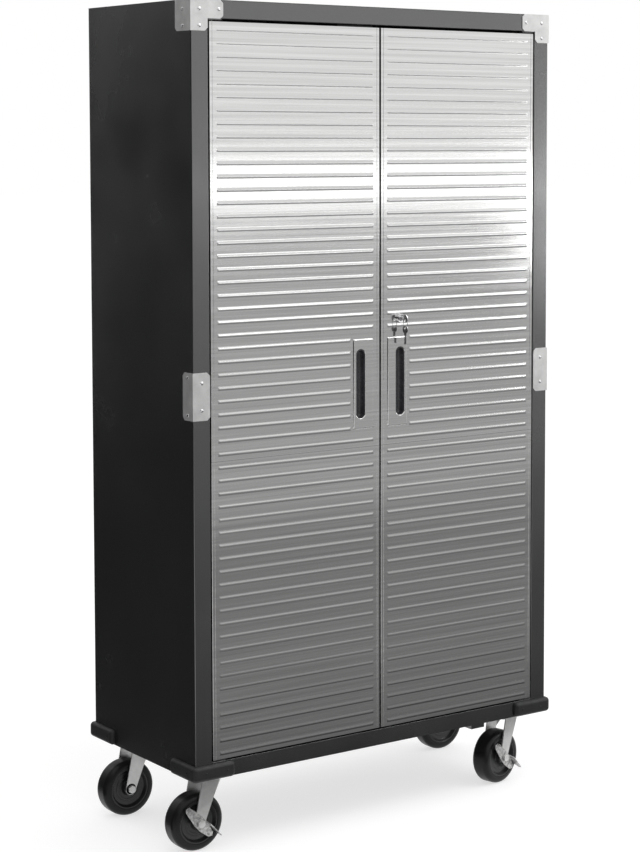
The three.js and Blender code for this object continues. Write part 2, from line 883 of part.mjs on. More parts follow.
// Cam on the end of the plug: a finger behind the left door and two crank pins
function lockCam() {
  const hubHoleEnd = camFrontY + camSheet / 2 + seatGap;
  const hubHole = rod('y', lockX, lockZ, camFrontY - cutOverrun, hubHoleEnd, plugRadius + seatGap);
  const finger = block(
    lockX - camFingerWidth / 2, lockX + camFingerWidth / 2,
    camFrontY, camBackY,
    lockZ, lockZ + camFingerLength,
  );
  let cam = join(rod('y', lockX, lockZ, camFrontY, camBackY, camHubRadius), finger);
  cam = cut(cam, hubHole);
  for (const turn of [-1, 1]) {
    cam = join(cam, rod(
      'y', lockX - turn * crankRise, lockZ + turn * crankRise,
      camBackY - camSheet / 2, camBackY + crankPinLength,
      crankPinRadius, crankPinRadius, smallFacets,
    ));
  }
  return cam;
}
addPiece('lock_cam', lockCam(), zinc);

// Lock rods: flat bars with a cross slot that a crank pin pushes up or down
function lockRod(up) {
  const x = lockX + up * rodOffset;
  const pinZ = lockZ - up * crankRise;
  const slotHalf = (crankRadius - crankRise) / 2 + crankPinRadius + yokePinGap;
  const slotMidX = lockX + up * (crankRadius + crankRise) / 2;
  const slotHigh = crankPinRadius + yokePinGap;
  const nearZ = pinZ - up * (slotHigh + guideWall);
  const farZ = up > 0 ? doorHighZ : doorLowZ;
  return cut(
    block(x - rodWidth / 2, x + rodWidth / 2, rodFrontY, rodBackY, nearZ, farZ),
    block(
      slotMidX - slotHalf, slotMidX + slotHalf,
      rodFrontY - cutOverrun, rodBackY + cutOverrun,
      pinZ - slotHigh, pinZ + slotHigh,
    ),
  );
}
addPiece('lock_rod_upper', lockRod(1), zinc);
addPiece('lock_rod_lower', lockRod(-1), zinc);

// Key in the lock, its bow upright
const bowCentreY = plugFrontY - keyNeckLength - keyBowRadius;
const bowHoleZ = lockZ - keyBowOffset;

function lockKey() {
  const [leftFace, rightFace] = [lockX - keySheet / 2, lockX + keySheet / 2];
  return cut(
    join(
      block(
        leftFace, rightFace,
        bowCentreY, plugFrontY + keyBladeLength,
        lockZ - keyBladeHeight / 2, lockZ + keyBladeHeight / 2,
      ),
      rod('x', bowCentreY, lockZ, leftFace, rightFace, keyBowRadius),
    ),
    rod('x', bowCentreY, bowHoleZ, lockX - keySheet, lockX + keySheet, keyBowHole, keyBowHole, smallFacets),
  );
}
addPiece('key', lockKey(), chrome);

// Spare key hanging on a ring that passes through the bow of the first
const ringTopZ = bowHoleZ - keyBowHole / 2;
const ringLowZ = ringTopZ - 2 * ringRadius;
const spareHoleZ = ringLowZ - keyBowHole + ringWire / 2;
const spareBowZ = spareHoleZ - keyBowOffset;

function spareKey() {
  const ring = new THREE.TorusGeometry(ringRadius, ringWire, 6, roundFacets);
  ring.rotateX(Math.PI / 2);
  ring.translate(lockX, bowCentreY, ringTopZ - ringRadius);
  const [leftFace, rightFace] = [lockX - keySheet / 2, lockX + keySheet / 2];
  const hanging = cut(
    join(
      rod('x', bowCentreY, spareBowZ, leftFace, rightFace, keyBowRadius),
      block(
        leftFace, rightFace,
        bowCentreY - keyBladeHeight / 2, bowCentreY + keyBladeHeight / 2,
        spareBowZ - keyBowRadius - spareBladeLength, spareBowZ,
      ),
    ),
    rod('x', bowCentreY, spareHoleZ, lockX - keySheet, lockX + keySheet, keyBowHole, keyBowHole, smallFacets),
  );
  return join(hanging, toSolid(ring));
}
addPiece('spare_key', spareKey(), chrome);

// Slotted uprights on the side walls, with clips under each shelf
const shelfRoom = (underTopZ - floorZ) / (shelfCount + 1);
const shelfLevels = Array.from({ length: shelfCount }, (_, i) => floorZ + (i + 1) * shelfRoom);
const uprightPlaces = {
  front: shelfFrontY + uprightInset,
  rear: shelfBackY - uprightInset,
};

function upright(side, middleY) {
  const wallX = side * innerWallX;
  const faceX = side * (innerWallX - uprightDepth);
  const [lowY, highY] = [middleY - uprightWidth / 2, middleY + uprightWidth / 2];
  const path = [[wallX, lowY], [faceX, lowY], [faceX, highY], [wallX, highY]];
  const [lowZ, highZ] = [floorZ + seatGap, underTopZ - seatGap];
  let strip = prism('z', bentSheet(path, -side * wallSheet), lowZ, highZ);
  const slotCount = Math.floor((highZ - lowZ) / uprightSlotPitch);
  const firstSlotZ = (lowZ + highZ - (slotCount - 1) * uprightSlotPitch) / 2;
  for (let i = 0; i < slotCount; i += 1) {
    const z = firstSlotZ + i * uprightSlotPitch;
    strip = cut(strip, block(
      faceX - side * cutOverrun, faceX + side * (wallSheet + cutOverrun),
      middleY - uprightSlotWidth / 2, middleY + uprightSlotWidth / 2,
      z - uprightSlotHeight / 2, z + uprightSlotHeight / 2,
    ));
  }
  for (const level of shelfLevels) {
    const clipTop = level - shelfSheet - seatGap;
    strip = join(strip, block(
      faceX + side * wallSheet, faceX - side * clipLength,
      middleY - clipWidth / 2, middleY + clipWidth / 2,
      clipTop - clipHeight, clipTop,
    ));
  }
  return strip;
}
for (const [name, side] of Object.entries(sides)) {
  for (const [place, middleY] of Object.entries(uprightPlaces)) {
    addPiece(`upright_${place}_${name}`, upright(side, middleY), zinc);
  }
}

function shelf(level) {
  const path = [
    [shelfFrontY + shelfHemReturn, level - shelfHem],
    [shelfFrontY, level - shelfHem],
    [shelfFrontY, level],
    [shelfBackY, level],
    [shelfBackY, level - shelfHem],
    [shelfBackY - shelfHemReturn, level - shelfHem],
  ];
  return prism('x', bentSheet(path, -shelfSheet), -shelfHalfX, shelfHalfX);
}
shelfLevels.forEach((level, i) => addPiece(`shelf_${i + 1}`, shelf(level), greyPaint));

// Magnetic catch under the header, behind the left door
const catchFrontY = doorBackY + seatGap;
const catchBackY = Math.min(catchFrontY + catchDepth, frontY + frameDepth);
addPiece(
  'magnetic_catch',
  block(
    -catchWidth / 2 - lockX, catchWidth / 2 - lockX,
    catchFrontY, catchBackY,
    headerZ - seatGap - catchHeight, headerZ - seatGap,
  ),
  blackPlastic,
);

// Casters, drawn about their swivel axis with the plate at Z = casterHeight
const plateTopZ = casterHeight - seatGap;
const plateLowZ = plateTopZ - casterPlateSheet;
const crownTopZ = plateLowZ - raceHeight - seatGap;
const crownLowZ = crownTopZ - forkCrownSheet;

function casterPlate() {
  let plate = join(
    block(
      -casterPlateLength / 2, casterPlateLength / 2,
      -casterPlateDepth / 2, casterPlateDepth / 2,
      plateLowZ, plateTopZ,
    ),
    rod(
      'z', 0, 0, plateLowZ - raceHeight, plateLowZ + seatGap,
      raceRadius - raceHeight / 2, raceRadius, fineFacets,
    ),
    rod('z', 0, 0, crownLowZ - seatGap - kingHeadHeight, plateLowZ, kingPinRadius),
    rod(
      'z', 0, 0, crownLowZ - seatGap - kingHeadHeight, crownLowZ - seatGap,
      kingHeadRadius - kingHeadHeight / 2, kingHeadRadius,
    ),
  );
  for (const sx of [-1, 1]) {
    for (const sy of [-1, 1]) {
      plate = join(plate, rod(
        'z', sx * (casterPlateLength / 2 - casterBoltInset), sy * (casterPlateDepth / 2 - casterBoltInset),
        plateLowZ - casterBoltHeight, plateLowZ + seatGap,
        casterBoltRadius, casterBoltRadius, 6,
      ));
    }
  }
  return plate;
}

// One fork leg: a tapered plate down to the axle boss, its leading edge folded in above the wheel
function forkLeg(sy) {
  const insideY = sy * forkInside / 2;
  const outsideY = insideY + sy * forkSheet;
  const rearTopX = -forkLegTop / 2 - forkSheet;
  const frontTopX = forkLegTop / 2 - forkSheet;
  const outline = new THREE.Shape();
  outline.moveTo(frontTopX, crownTopZ);
  outline.lineTo(rearTopX, crownTopZ);
  outline.absarc(-casterTrail, wheelRadius, forkBossRadius, Math.PI, Math.PI * 2, false);
  outline.closePath();
  const foldShare = (forkFoldZ - wheelRadius) / (crownTopZ - wheelRadius);
  const foldX = THREE.MathUtils.lerp(-casterTrail + forkBossRadius, frontTopX, foldShare);
  const flange = (frontX, reach) => [
    [frontX - forkSheet, outsideY],
    [frontX, outsideY],
    [frontX + reach, outsideY - sy * reach],
    [frontX + reach - forkSheet, outsideY - sy * reach],
  ];
  return join(
    prism('y', outline, Math.min(insideY, outsideY), Math.max(insideY, outsideY)),
    loft(flange(foldX, seatGap), forkFoldZ, flange(frontTopX, forkFlange), crownTopZ),
  );
}

function fork() {
  const crown = rod('z', 0, 0, crownLowZ, crownTopZ, forkCrownRadius, forkCrownRadius, fineFacets);
  const bridge = block(
    -forkLegTop / 2 - forkSheet, forkLegTop / 2 - forkSheet,
    -forkInside / 2 - forkSheet, forkInside / 2 + forkSheet,
    crownLowZ, crownTopZ,
  );
  return cut(
    join(crown, bridge, forkLeg(-1), forkLeg(1)),
    rod('z', 0, 0, crownLowZ - cutOverrun, crownTopZ + cutOverrun, kingPinRadius + axleGap),
    rod(
      'y', -casterTrail, wheelRadius,
      -forkInside / 2 - forkSheet - cutOverrun, forkInside / 2 + forkSheet + cutOverrun,
      axleRadius + seatGap,
    ),
  );
}

// Wheel: crowned tread, dished sides and a hub, turned in one piece
function wheel() {
  const half = [
    [axleRadius + axleGap, wheelHubWidth / 2],
    [wheelHubRadius, wheelHubWidth / 2],
    [wheelHubRadius + wheelDish / 2, wheelTread / 2 - wheelDish],
    [wheelRadius - wheelRimBand, wheelTread / 2 - wheelDish],
    [wheelRadius - wheelShoulder, wheelTread / 2],
    [wheelRadius - wheelCrown, wheelTread / 2 - wheelEdge],
    [wheelRadius, wheelTread / 2 - 2 * wheelEdge],
  ];
  const other = half.map(([radius, y]) => [radius, -y]).reverse();
  return turned([...half, ...other], fineFacets);
}

// Axle bolt with a head at each end
function axle(outsideHeads) {
  const reach = forkInside / 2 + forkSheet + seatGap;
  const frontReach = reach + outsideHeads;
  return join(
    rod('y', 0, 0, -frontReach - axleHeadHeight, reach + axleHeadHeight, axleRadius),
    rod('y', 0, 0, -frontReach - axleHeadHeight, -frontReach, axleHeadRadius, axleHeadRadius, 6),
    rod('y', 0, 0, reach, reach + axleHeadHeight, axleHeadRadius, axleHeadRadius, 6),
  );
}

// Brake lever: a leaf-shaped plate on the axle with a folded lip to step on
const leverInnerY = -forkInside / 2 - forkSheet - seatGap;
const leverOuterY = leverInnerY - leverSheet;

function brakeLever() {
  const leaf = leverLeafShares.map(([along, across]) => [
    along * (along < 0 ? leverHeel : leverToe),
    across * leverHalfWidth,
  ]);
  const lip = [
    [leverOuterY - leverLipReach, leverLipStart * 3],
    [leverInnerY, leverLipStart],
    [leverInnerY, leverLipEnd - leverLipReach],
    [leverOuterY - leverLipReach / 2, leverLipEnd],
    [leverOuterY - leverLipReach, leverLipEnd],
  ];
  const plate = prism('y', leaf, leverOuterY, leverInnerY);
  const step = loft(
    lip.map(([y, u]) => [u, y]), leverHalfWidth - leverSheet,
    lip.map(([y, u]) => [u, y]), leverHalfWidth,
  );
  const heel = block(
    -leverHeelLipFrom, -leverHeelLipTo,
    leverOuterY - leverHeelLip, leverInnerY,
    leverHeelLipHigh - leverSheet, leverHeelLipHigh,
  );
  const hole = rod('y', 0, 0, leverOuterY - cutOverrun, leverInnerY + cutOverrun, axleRadius + axleGap);
  return cut(join(plate, step, heel), hole);
}

const casterPlaces = [
  ['front_left', -1, -1, 0],
  ['front_right', 1, -1, frontRightTurn],
  ['rear_left', -1, 1, 0],
  ['rear_right', 1, 1, 180],
];
for (const [place, sx, sy, turn] of casterPlaces) {
  const caster = new THREE.Group();
  caster.position.set(sx * (halfWidth - casterInsetX), sy * (bodyDepth / 2 - casterInsetY), 0);
  cabinet.add(caster);
  addPiece(`caster_plate_${place}`, casterPlate(), zinc, caster);
  const swivel = new THREE.Group();
  swivel.rotation.z = THREE.MathUtils.degToRad(turn);
  caster.add(swivel);
  addPiece(`caster_fork_${place}`, fork(), zinc, swivel);
  const braked = sy < 0;
  const hub = new THREE.Group();
  hub.position.set(-casterTrail, 0, wheelRadius);
  swivel.add(hub);
  addPiece(`caster_wheel_${place}`, wheel(), blackRubber, hub);
  addPiece(`caster_axle_${place}`, axle(braked ? leverSheet + seatGap : 0), zinc, hub);
  if (!braked) continue;
  const lever = addPiece(`brake_lever_${place}`, brakeLever(), zinc, hub);
  lever.rotation.y = THREE.MathUtils.degToRad(-leverTilt);
}

export default cabinet;
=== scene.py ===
"""Two-door metal storage cabinet on four casters: its looks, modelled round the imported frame."""
import json
import math

import bpy
from bpy.props import FloatProperty, FloatVectorProperty, PointerProperty
from mathutils import Matrix, Vector

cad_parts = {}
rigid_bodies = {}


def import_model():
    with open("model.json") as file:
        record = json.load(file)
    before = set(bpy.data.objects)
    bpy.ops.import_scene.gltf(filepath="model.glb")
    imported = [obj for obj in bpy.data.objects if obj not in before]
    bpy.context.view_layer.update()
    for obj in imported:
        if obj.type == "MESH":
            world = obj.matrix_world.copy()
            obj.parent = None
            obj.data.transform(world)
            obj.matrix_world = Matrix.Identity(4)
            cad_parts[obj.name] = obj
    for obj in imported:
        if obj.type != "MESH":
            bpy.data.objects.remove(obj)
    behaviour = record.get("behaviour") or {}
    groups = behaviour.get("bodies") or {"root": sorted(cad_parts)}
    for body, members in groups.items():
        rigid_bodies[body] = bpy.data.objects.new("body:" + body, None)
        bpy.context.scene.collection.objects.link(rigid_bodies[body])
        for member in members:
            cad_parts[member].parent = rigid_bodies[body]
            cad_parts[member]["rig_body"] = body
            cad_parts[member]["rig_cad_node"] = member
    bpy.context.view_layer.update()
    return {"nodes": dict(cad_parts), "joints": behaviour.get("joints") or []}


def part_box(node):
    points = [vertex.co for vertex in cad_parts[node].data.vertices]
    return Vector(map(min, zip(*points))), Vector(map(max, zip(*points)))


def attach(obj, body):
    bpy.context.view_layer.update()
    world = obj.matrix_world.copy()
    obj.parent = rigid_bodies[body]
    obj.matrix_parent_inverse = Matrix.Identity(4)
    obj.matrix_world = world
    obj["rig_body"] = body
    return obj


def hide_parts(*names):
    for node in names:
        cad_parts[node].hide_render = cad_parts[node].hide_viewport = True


bl_info = {
    "name": "Storage Cabinet",
    "version": (1, 0, 0),
    "blender": (4, 5, 0),
    "location": "3D View > Sidebar > Cabinet",
    "description": "Models and finishes a two-door storage cabinet on casters",
    "category": "Object",
}

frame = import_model()

MM = 0.001
X, Y, Z = 0, 1, 2
SIDES = {"left": -1, "right": 1}
CASTERS = ("front_left", "front_right", "rear_left", "rear_right")

# Places closer together than this count as the same
NEAR = 0.05 * MM

# Points closer together than this are merged
MERGE = 0.005 * MM

# Cutting tools reach this far past what they cut
OVERREACH = 1 * MM

# A direction counts as along an axis from this cosine up, and as square to a wheel's side from the next
ALONG = 0.9
SQUARE = 0.9995

SMOOTH_DEGREES = 38
SHARP_DEGREES = 32


# Sizes and colours that a user would change

def number(name, description, default, **kind):
    """A number property, with its unit, subtype or limits."""
    return FloatProperty(name=name, description=description, default=default, **kind)


def length(name, description, default):
    """A length property, its default given in millimetres."""
    return number(name, description, default * MM, unit="LENGTH", precision=4)


def angle(name, description, default):
    """An angle property, its default given in degrees."""
    return number(name, description, math.radians(default), subtype="ANGLE")


def power(name, description, default):
    """A lamp's power in watts."""
    return number(name, description, default, unit="POWER")


def share(name, description, default):
    """A property between nought and one."""
    return number(name, description, default, min=0, max=1, subtype="FACTOR")


def colour(name, description, default):
    """A colour property."""
    return FloatVectorProperty(
        name=name, description=description, default=default, min=0, max=1, subtype="COLOR"
    )


class CabinetDoorSizes(bpy.types.PropertyGroup):
    """Sizes of the pressed door sheets and their handles"""

    bead_pitch: length("Bead pitch", "Distance from bead to bead", 28.1)
    bead_width: length("Bead width", "Height of one bead on the door", 10)
    bead_height: length("Bead rise", "How far a bead stands proud", 0.42)
    bead_side: length("Bead side margin", "From the sheet's edge to a bead's end", 16.5)
    bead_end: length("Bead end margin", "From the sheet's end to the first bead", 12.5)
    bead_pad_gap: length("Bead to pad", "From a bead's end to the handle pad", 6)
    sheet: length("Sheet", "Thickness of the door sheets", 0.8)
    fold: length("Fold radius", "Outside radius of the folded door edges", 1)
    hem: length("Hem line", "From a sheet's side edge to the line of its hem", 7)
    hem_gap: length("Hem gap", "Width of the line along the hem", 0.9)
    pad_edge: length("Pad margin", "From the door's inner edge to the pad", 17)
    pad_width: length("Pad width", "Width of the raised handle pad", 55)
    pad_low: length("Pad foot", "Height of the pad's lower edge above the floor", 895)
    pad_height: length("Pad height", "Height of the raised handle pad", 202)
    pad_rise: length("Pad rise", "How far the pad stands proud", 2)
    slot_width: length("Slot width", "Width of the finger slot", 23)
    slot_height: length("Slot height", "Height of the finger slot", 153)
    slot_lip: length("Slot lip", "Radius of the rolled lip round the finger slot", 2.2)
    cup_wall: length("Cup wall", "Wall thickness of the finger cup", 1.2)


class CabinetFittingSizes(bpy.types.PropertyGroup):
    """Sizes of the folds, brackets, bumpers and casters"""

    panel_fold: length("Panel fold", "Outside radius of the folded body panels", 2)
    tray_fold: length("Tray fold", "Outside radius of the fold along the base rail", 0.5)
    rivet_radius: length("Rivet radius", "Radius of a domed rivet head", 4)
    rivet_rise: length("Rivet rise", "Height of a domed rivet head", 1.65)
    rivet_row: length("Rivet row", "From a bracket's outer edges to its first rivets", 20)
    rivet_edge: length("Rivet edge", "From a bracket's far edges to its rivets", 11)
    bumper_round: length("Bumper edge", "Radius of the bumpers' edges", 9)
    bumper_end: length("Bumper end", "Radius of the bumpers' ends", 8)
    screw_radius: length("Screw radius", "Radius of a bumper screw's head", 2.4)
    screw_near: length("Near screw", "From the corner to the near screw", 21)
    screw_far: length("Far screw", "From the corner to the far screw", 74)
    tread_round: length("Tread edge", "Radius of the wheels' tread edges", 12)
    lever_heel: length("Lever heel", "How far the brake levers' upper ends are drawn out", 16)
    lever_round: length("Lever edge", "Radius of the brake levers' edges", 0.7)


class CabinetFinishes(bpy.types.PropertyGroup):
    """Colours and gloss of the finishes"""

    paint: colour("Paint", "Black powder coat", (0.0065, 0.0065, 0.007))
    paint_gloss: share("Paint roughness", "Roughness of the powder coat", 0.24)
    shelf: colour("Shelf paint", "Grey powder coat inside", (0.19, 0.195, 0.2))
    steel: colour("Door steel", "Brushed stainless sheet", (0.68, 0.68, 0.675))
    steel_gloss: share("Steel roughness", "Roughness of the stainless sheet", 0.13)
    zinc: colour("Zinc", "Bright zinc plating", (0.66, 0.66, 0.655))
    zinc_gloss: share("Zinc roughness", "Roughness of the zinc plating", 0.33)
    chrome: colour("Chrome", "Polished chrome", (0.75, 0.75, 0.76))
    rubber: colour("Rubber", "Black rubber", (0.011, 0.011, 0.012))
    plastic: colour("Plastic", "Black plastic", (0.010, 0.010, 0.011))


class CabinetStage(bpy.types.PropertyGroup):
    """Camera and light"""

    camera: FloatVectorProperty(
        name="Camera", description="Place of the camera", unit="LENGTH",
        default=(-2.7662, -4.1091, 1.5431),
    )
    yaw: angle("Yaw", "Turn of the view to the right of +Y", 37.258)
    pitch: angle("Pitch", "Tilt of the view below level", 4.2)
    roll: angle("Roll", "Turn of the camera about its view", 0.122)
    lens: number("Lens", "Focal length", 90.6, unit="CAMERA")
    shift_x: number("Shift across", "Sideways lens shift", -0.1526)
    shift_y: number("Shift up", "Upward lens shift", -0.1538)
    key_power: power("Key lamp", "Power of the key lamp", 50)
    fill_power: power("Fill lamp", "Power of the fill lamp", 20)
    strip_power: power("Strip lamp", "Power of the long low lamp", 1.5)
    side_power: power("Side lamp", "Power of the lamp beside it", 14)
    ambient: number("Ambient", "Strength of the soft light all round", 0.85)


# Selecting and shaping

def deselect_all():
    """Nothing stays selected, in object mode."""
    if bpy.context.mode != "OBJECT":
        bpy.ops.object.mode_set(mode="OBJECT")
    bpy.ops.object.select_all(action="DESELECT")


def pick(*pieces):
    """Just these pieces are selected and the first is active."""
    deselect_all()
    for piece in pieces:
        piece.select_set(True)
    bpy.context.view_layer.objects.active = pieces[0]


def settle(piece):
    """The piece's place goes into its mesh."""
    pick(piece)
    bpy.ops.object.transform_apply(location=True, rotation=True, scale=True)
    return piece


def start_box(low, high):
    """A box between two corners, ready to be shaped."""
    deselect_all()
    low, high = Vector(low), Vector(high)
    bpy.ops.mesh.primitive_cube_add(size=1, location=(low + high) / 2)
    piece = bpy.context.active_object
    piece.scale = high - low
    return settle(piece)


TURNS = {"x": (0, math.pi / 2, 0), "y": (math.pi / 2, 0, 0), "z": (0, 0, 0)}


def start_round(centre, axis, radius, depth, sides=48):
    """A round bar along an axis, ready to be shaped."""
    deselect_all()
    bpy.ops.mesh.primitive_cylinder_add(
        vertices=sides, radius=radius, depth=depth, location=centre, rotation=TURNS[axis]
    )
    return settle(bpy.context.active_object)


def choose(piece, kind, test):
    """Edit mode, with just the faces, edges or vertices that pass the test selected."""
    pick(piece)
    bpy.ops.object.mode_set(mode="EDIT")
    bpy.ops.mesh.select_mode(type=kind)
    bpy.ops.mesh.select_all(action="DESELECT")
    bpy.ops.object.mode_set(mode="OBJECT")
    mesh = piece.data
    if kind == "FACE":
        for face in mesh.polygons:
            face.select = test(face.center, face.normal)
    elif kind == "EDGE":
        for edge in mesh.edges:
            start, end = (mesh.vertices[i].co for i in edge.vertices)
            edge.select = test((start + end) / 2, (end - start).normalized())
    else:
        for vertex in mesh.vertices:
            vertex.select = test(vertex.co)
    bpy.ops.object.mode_set(mode="EDIT")


def facing(axis, sign):
    """A test for faces that look along an axis."""
    return lambda centre, normal: normal[axis] * sign > ALONG


def edges_at(axis, level):
    """A test for edges at one level of an axis."""
    return lambda middle, along: abs(middle[axis] - level) < NEAR


def edges_along(axis, *places):
    """A test for edges along an axis: all, or those at given places, where None is any."""
    def near(middle, place):
        return all(goal is None or abs(at - goal) < NEAR for at, goal in zip(middle, place))

    return lambda middle, along: abs(along[axis]) > ALONG and (
        not places or any(near(middle, place) for place in places)
    )


def inset_by(piece, test, steps, across=MM, out=MM):
    """Insets the faces that pass the test, each step given inwards and outwards in two units."""
    choose(piece, "FACE", test)
    for inwards, outwards in steps:
        bpy.ops.mesh.inset(thickness=inwards * across, depth=outwards * out)


def extrude(move):
    """Extrudes the chosen faces."""
    bpy.ops.mesh.extrude_region_move(TRANSFORM_OT_translate={"value": move})


def open_up(piece, test):
    """Deletes the faces that pass the test."""
    choose(piece, "FACE", test)
    bpy.ops.mesh.delete(type="FACE")
    deselect_all()


def round_edges(piece, test, radius, segments=4):
    """Rounds the edges that pass the test."""
    choose(piece, "EDGE", test)
    bpy.ops.mesh.bevel(offset=radius, segments=segments, affect="EDGES", clamp_overlap=True)
    deselect_all()
    return piece


def modify(piece, kind, **settings):
    """Adds one modifier and applies it."""
    pick(piece)
    modifier = piece.modifiers.new(kind.title(), kind)
    for name, value in settings.items():
        setattr(modifier, name, value)
    bpy.ops.object.modifier_apply(modifier=modifier.name)
    return piece


def soften(piece, radius, segments=2):
    """Breaks every sharp edge a little."""
    return modify(
        piece, "BEVEL", width=radius, segments=segments, limit_method="ANGLE",
        angle_limit=math.radians(SHARP_DEGREES),
    )


def smooth(piece, degrees=SMOOTH_DEGREES):
    """Shades gentle edges smooth, keeps sharp ones, and keeps flat faces flat beside them."""
    pick(piece)
    bpy.ops.object.shade_smooth_by_angle(angle=math.radians(degrees))
    return modify(piece, "WEIGHTED_NORMAL", keep_sharp=True)


def repeat(piece, count, step):
    """The piece again and again, a step apart, each with its own mesh, joined."""
    return modify(
        piece, "ARRAY", count=count, use_relative_offset=False,
        use_constant_offset=True, constant_offset_displace=step,
    )


def join(*pieces):
    """One object from several."""
    pick(*pieces)
    bpy.ops.object.join()
    return bpy.context.active_object


def discard(*pieces):
    """Takes pieces away that are no longer needed."""
    for piece in pieces:
        bpy.data.objects.remove(piece)


def cut(piece, *tools):
    """Takes the tools' shapes out of the piece."""
    for tool in tools:
        modify(piece, "BOOLEAN", operation="DIFFERENCE", solver="EXACT", object=tool)
        discard(tool)
    return piece


def twin(piece):
    """A copy of a piece, with its own mesh."""
    copy = piece.copy()
    copy.data = piece.data.copy()
    bpy.context.scene.collection.objects.link(copy)
    return copy


def place_copy(piece, place, turn=0):
    """A copy of a settled piece, turned about the Z axis and moved."""
    copy = twin(piece)
    copy.matrix_world = Matrix.Translation(place) @ Matrix.Rotation(turn, 4, "Z")
    return settle(copy)


def centre_of(node):
    """The middle of a node's box."""
    low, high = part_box(node)
    return (low + high) / 2


def inner_outer(node, side):
    """A node's X nearest to the cabinet's middle and furthest from it."""
    low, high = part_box(node)
    return (low.x, high.x) if side == "right" else (high.x, low.x)


def copy_node(node, radius=0.0, segments=2):
    """A merged copy of a CAD node with its sharp edges broken."""
    deselect_all()
    piece = twin(frame["nodes"][node])
    piece.parent = None
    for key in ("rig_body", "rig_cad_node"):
        del piece[key]
    pick(piece)
    bpy.ops.mesh.customdata_custom_splitnormals_clear()
    bpy.ops.object.mode_set(mode="EDIT")
    bpy.ops.mesh.select_all(action="SELECT")
    bpy.ops.mesh.remove_doubles(threshold=MERGE)
    bpy.ops.mesh.dissolve_limited(angle_limit=math.radians(0.5))
    deselect_all()
    if radius:
        soften(piece, radius, segments)
    return piece


def coat_with(piece, *paints):
    """The piece's finishes, kept when it is joined to another."""
    for paint in paints:
        piece.data.materials.append(paint)
    return piece


def finish(piece, name, body, slot, material, *nodes):
    """Names the piece, paints it and hangs it on the body that it moves with."""
    piece.name = name
    piece.data.name = name
    if material:
        piece.data.materials.clear()
        piece.data.materials.append(material)
    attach(piece, body)
    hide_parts(*nodes)
    return piece


def finish_node(node, name, body, slot, material, edge, segments=2):
    """A CAD node's own shape as a finished piece, its edges broken by so many millimetres."""
    piece = smooth(copy_node(node, edge * MM, segments))
    return finish(piece, name, body, slot, material, node)


# Finishes

# Noise seldom leaves this stretch between nought and one
NOISE_SHARES = (0.3, 0.7)


class Nodes:
    """A node tree in the making."""

    def __init__(self, tree):
        self.tree = tree

    def wire(self, node, inputs):
        """Gives a node its inputs, as values or as sockets to link."""
        for name, value in inputs.items():
            if isinstance(value, bpy.types.NodeSocket):
                self.tree.links.new(value, node.inputs[name])
            else:
                node.inputs[name].default_value = value
        return node

    def add(self, kind, inputs=None, **settings):
        """A new node with its settings and its inputs."""
        node = self.tree.nodes.new(kind)
        for name, value in settings.items():
            setattr(node, name, value)
        return self.wire(node, inputs or {})


class Finish(Nodes):
    """A material in the making: one Principled shader and the nodes that feed it."""

    def __init__(self, name, **sockets):
        self.material = bpy.data.materials.new(name)
        self.material.use_nodes = True
        super().__init__(self.material.node_tree)
        self.shader = self.tree.nodes["Principled BSDF"]
        self.feed(**sockets)

    def show(self, shader):
        """Shows another shader in place of the Principled one."""
        self.tree.nodes.remove(self.shader)
        self.wire(self.tree.nodes["Material Output"], {"Surface": shader})

    def feed(self, **sockets):
        """Gives the shader its inputs, an underscore standing for a space."""
        self.wire(self.shader, {name.replace("_", " "): value for name, value in sockets.items()})

    def noise(self, scale, detail=2.0, roughness=0.5, stretch=(1, 1, 1)):
        """Noise on the piece's own coordinates, stretched along its axes."""
        place = self.add("ShaderNodeTexCoord").outputs["Object"]
        mapping = self.add("ShaderNodeMapping", {"Vector": place, "Scale": stretch})
        inputs = {"Scale": scale, "Detail": detail, "Roughness": roughness}
        inputs["Vector"] = mapping.outputs["Vector"]
        return self.add("ShaderNodeTexNoise", inputs).outputs["Fac"]

    def spread(self, value, low, high):
        """A value near the middle of its range, stretched to run from low to high."""
        start, end = NOISE_SHARES
        inputs = {"Value": value, "From Min": start, "From Max": end, "To Min": low, "To Max": high}
        return self.add("ShaderNodeMapRange", inputs).outputs["Result"]

    def tint(self, value, values, dark, light):
        """A colour made darker and lighter by two factors, as a value goes."""
        ramp = self.add("ShaderNodeValToRGB", {"Fac": value})
        stops = zip(ramp.color_ramp.elements, NOISE_SHARES, (dark, light))
        for stop, position, factor in stops:
            stop.position = position
            stop.color = (*shade(values, factor), 1)
        return ramp.outputs["Color"]

    def bump(self, height, strength, distance, below=None):
        """A bump, on top of another one below it if given."""
        inputs = {"Height": height, "Strength": strength, "Distance": distance}
        if below:
            inputs["Normal"] = below
        return self.add("ShaderNodeBump", inputs).outputs["Normal"]


def shade(values, factor):
    """A colour made lighter or darker."""
    return tuple(min(1.0, value * factor) for value in values)


def powder_coat(name, values, roughness):
    """Satin powder coat: fine orange peel, and a faint change of gloss over the panel."""
    coat = Finish(name, IOR=1.75, Specular_IOR_Level=1.0)
    peel = coat.bump(coat.noise(620.0, 1.5), 0.12, 0.15 * MM)
    coat.feed(
        Base_Color=coat.tint(coat.noise(2.3, 3.0), values, 0.85, 1.2),
        Roughness=coat.spread(coat.noise(5.0, 4.0), roughness - 0.04, roughness + 0.05),
        Normal=coat.bump(coat.noise(90.0, 1.0), 0.05, 0.4 * MM, peel),
    )
    return coat.material


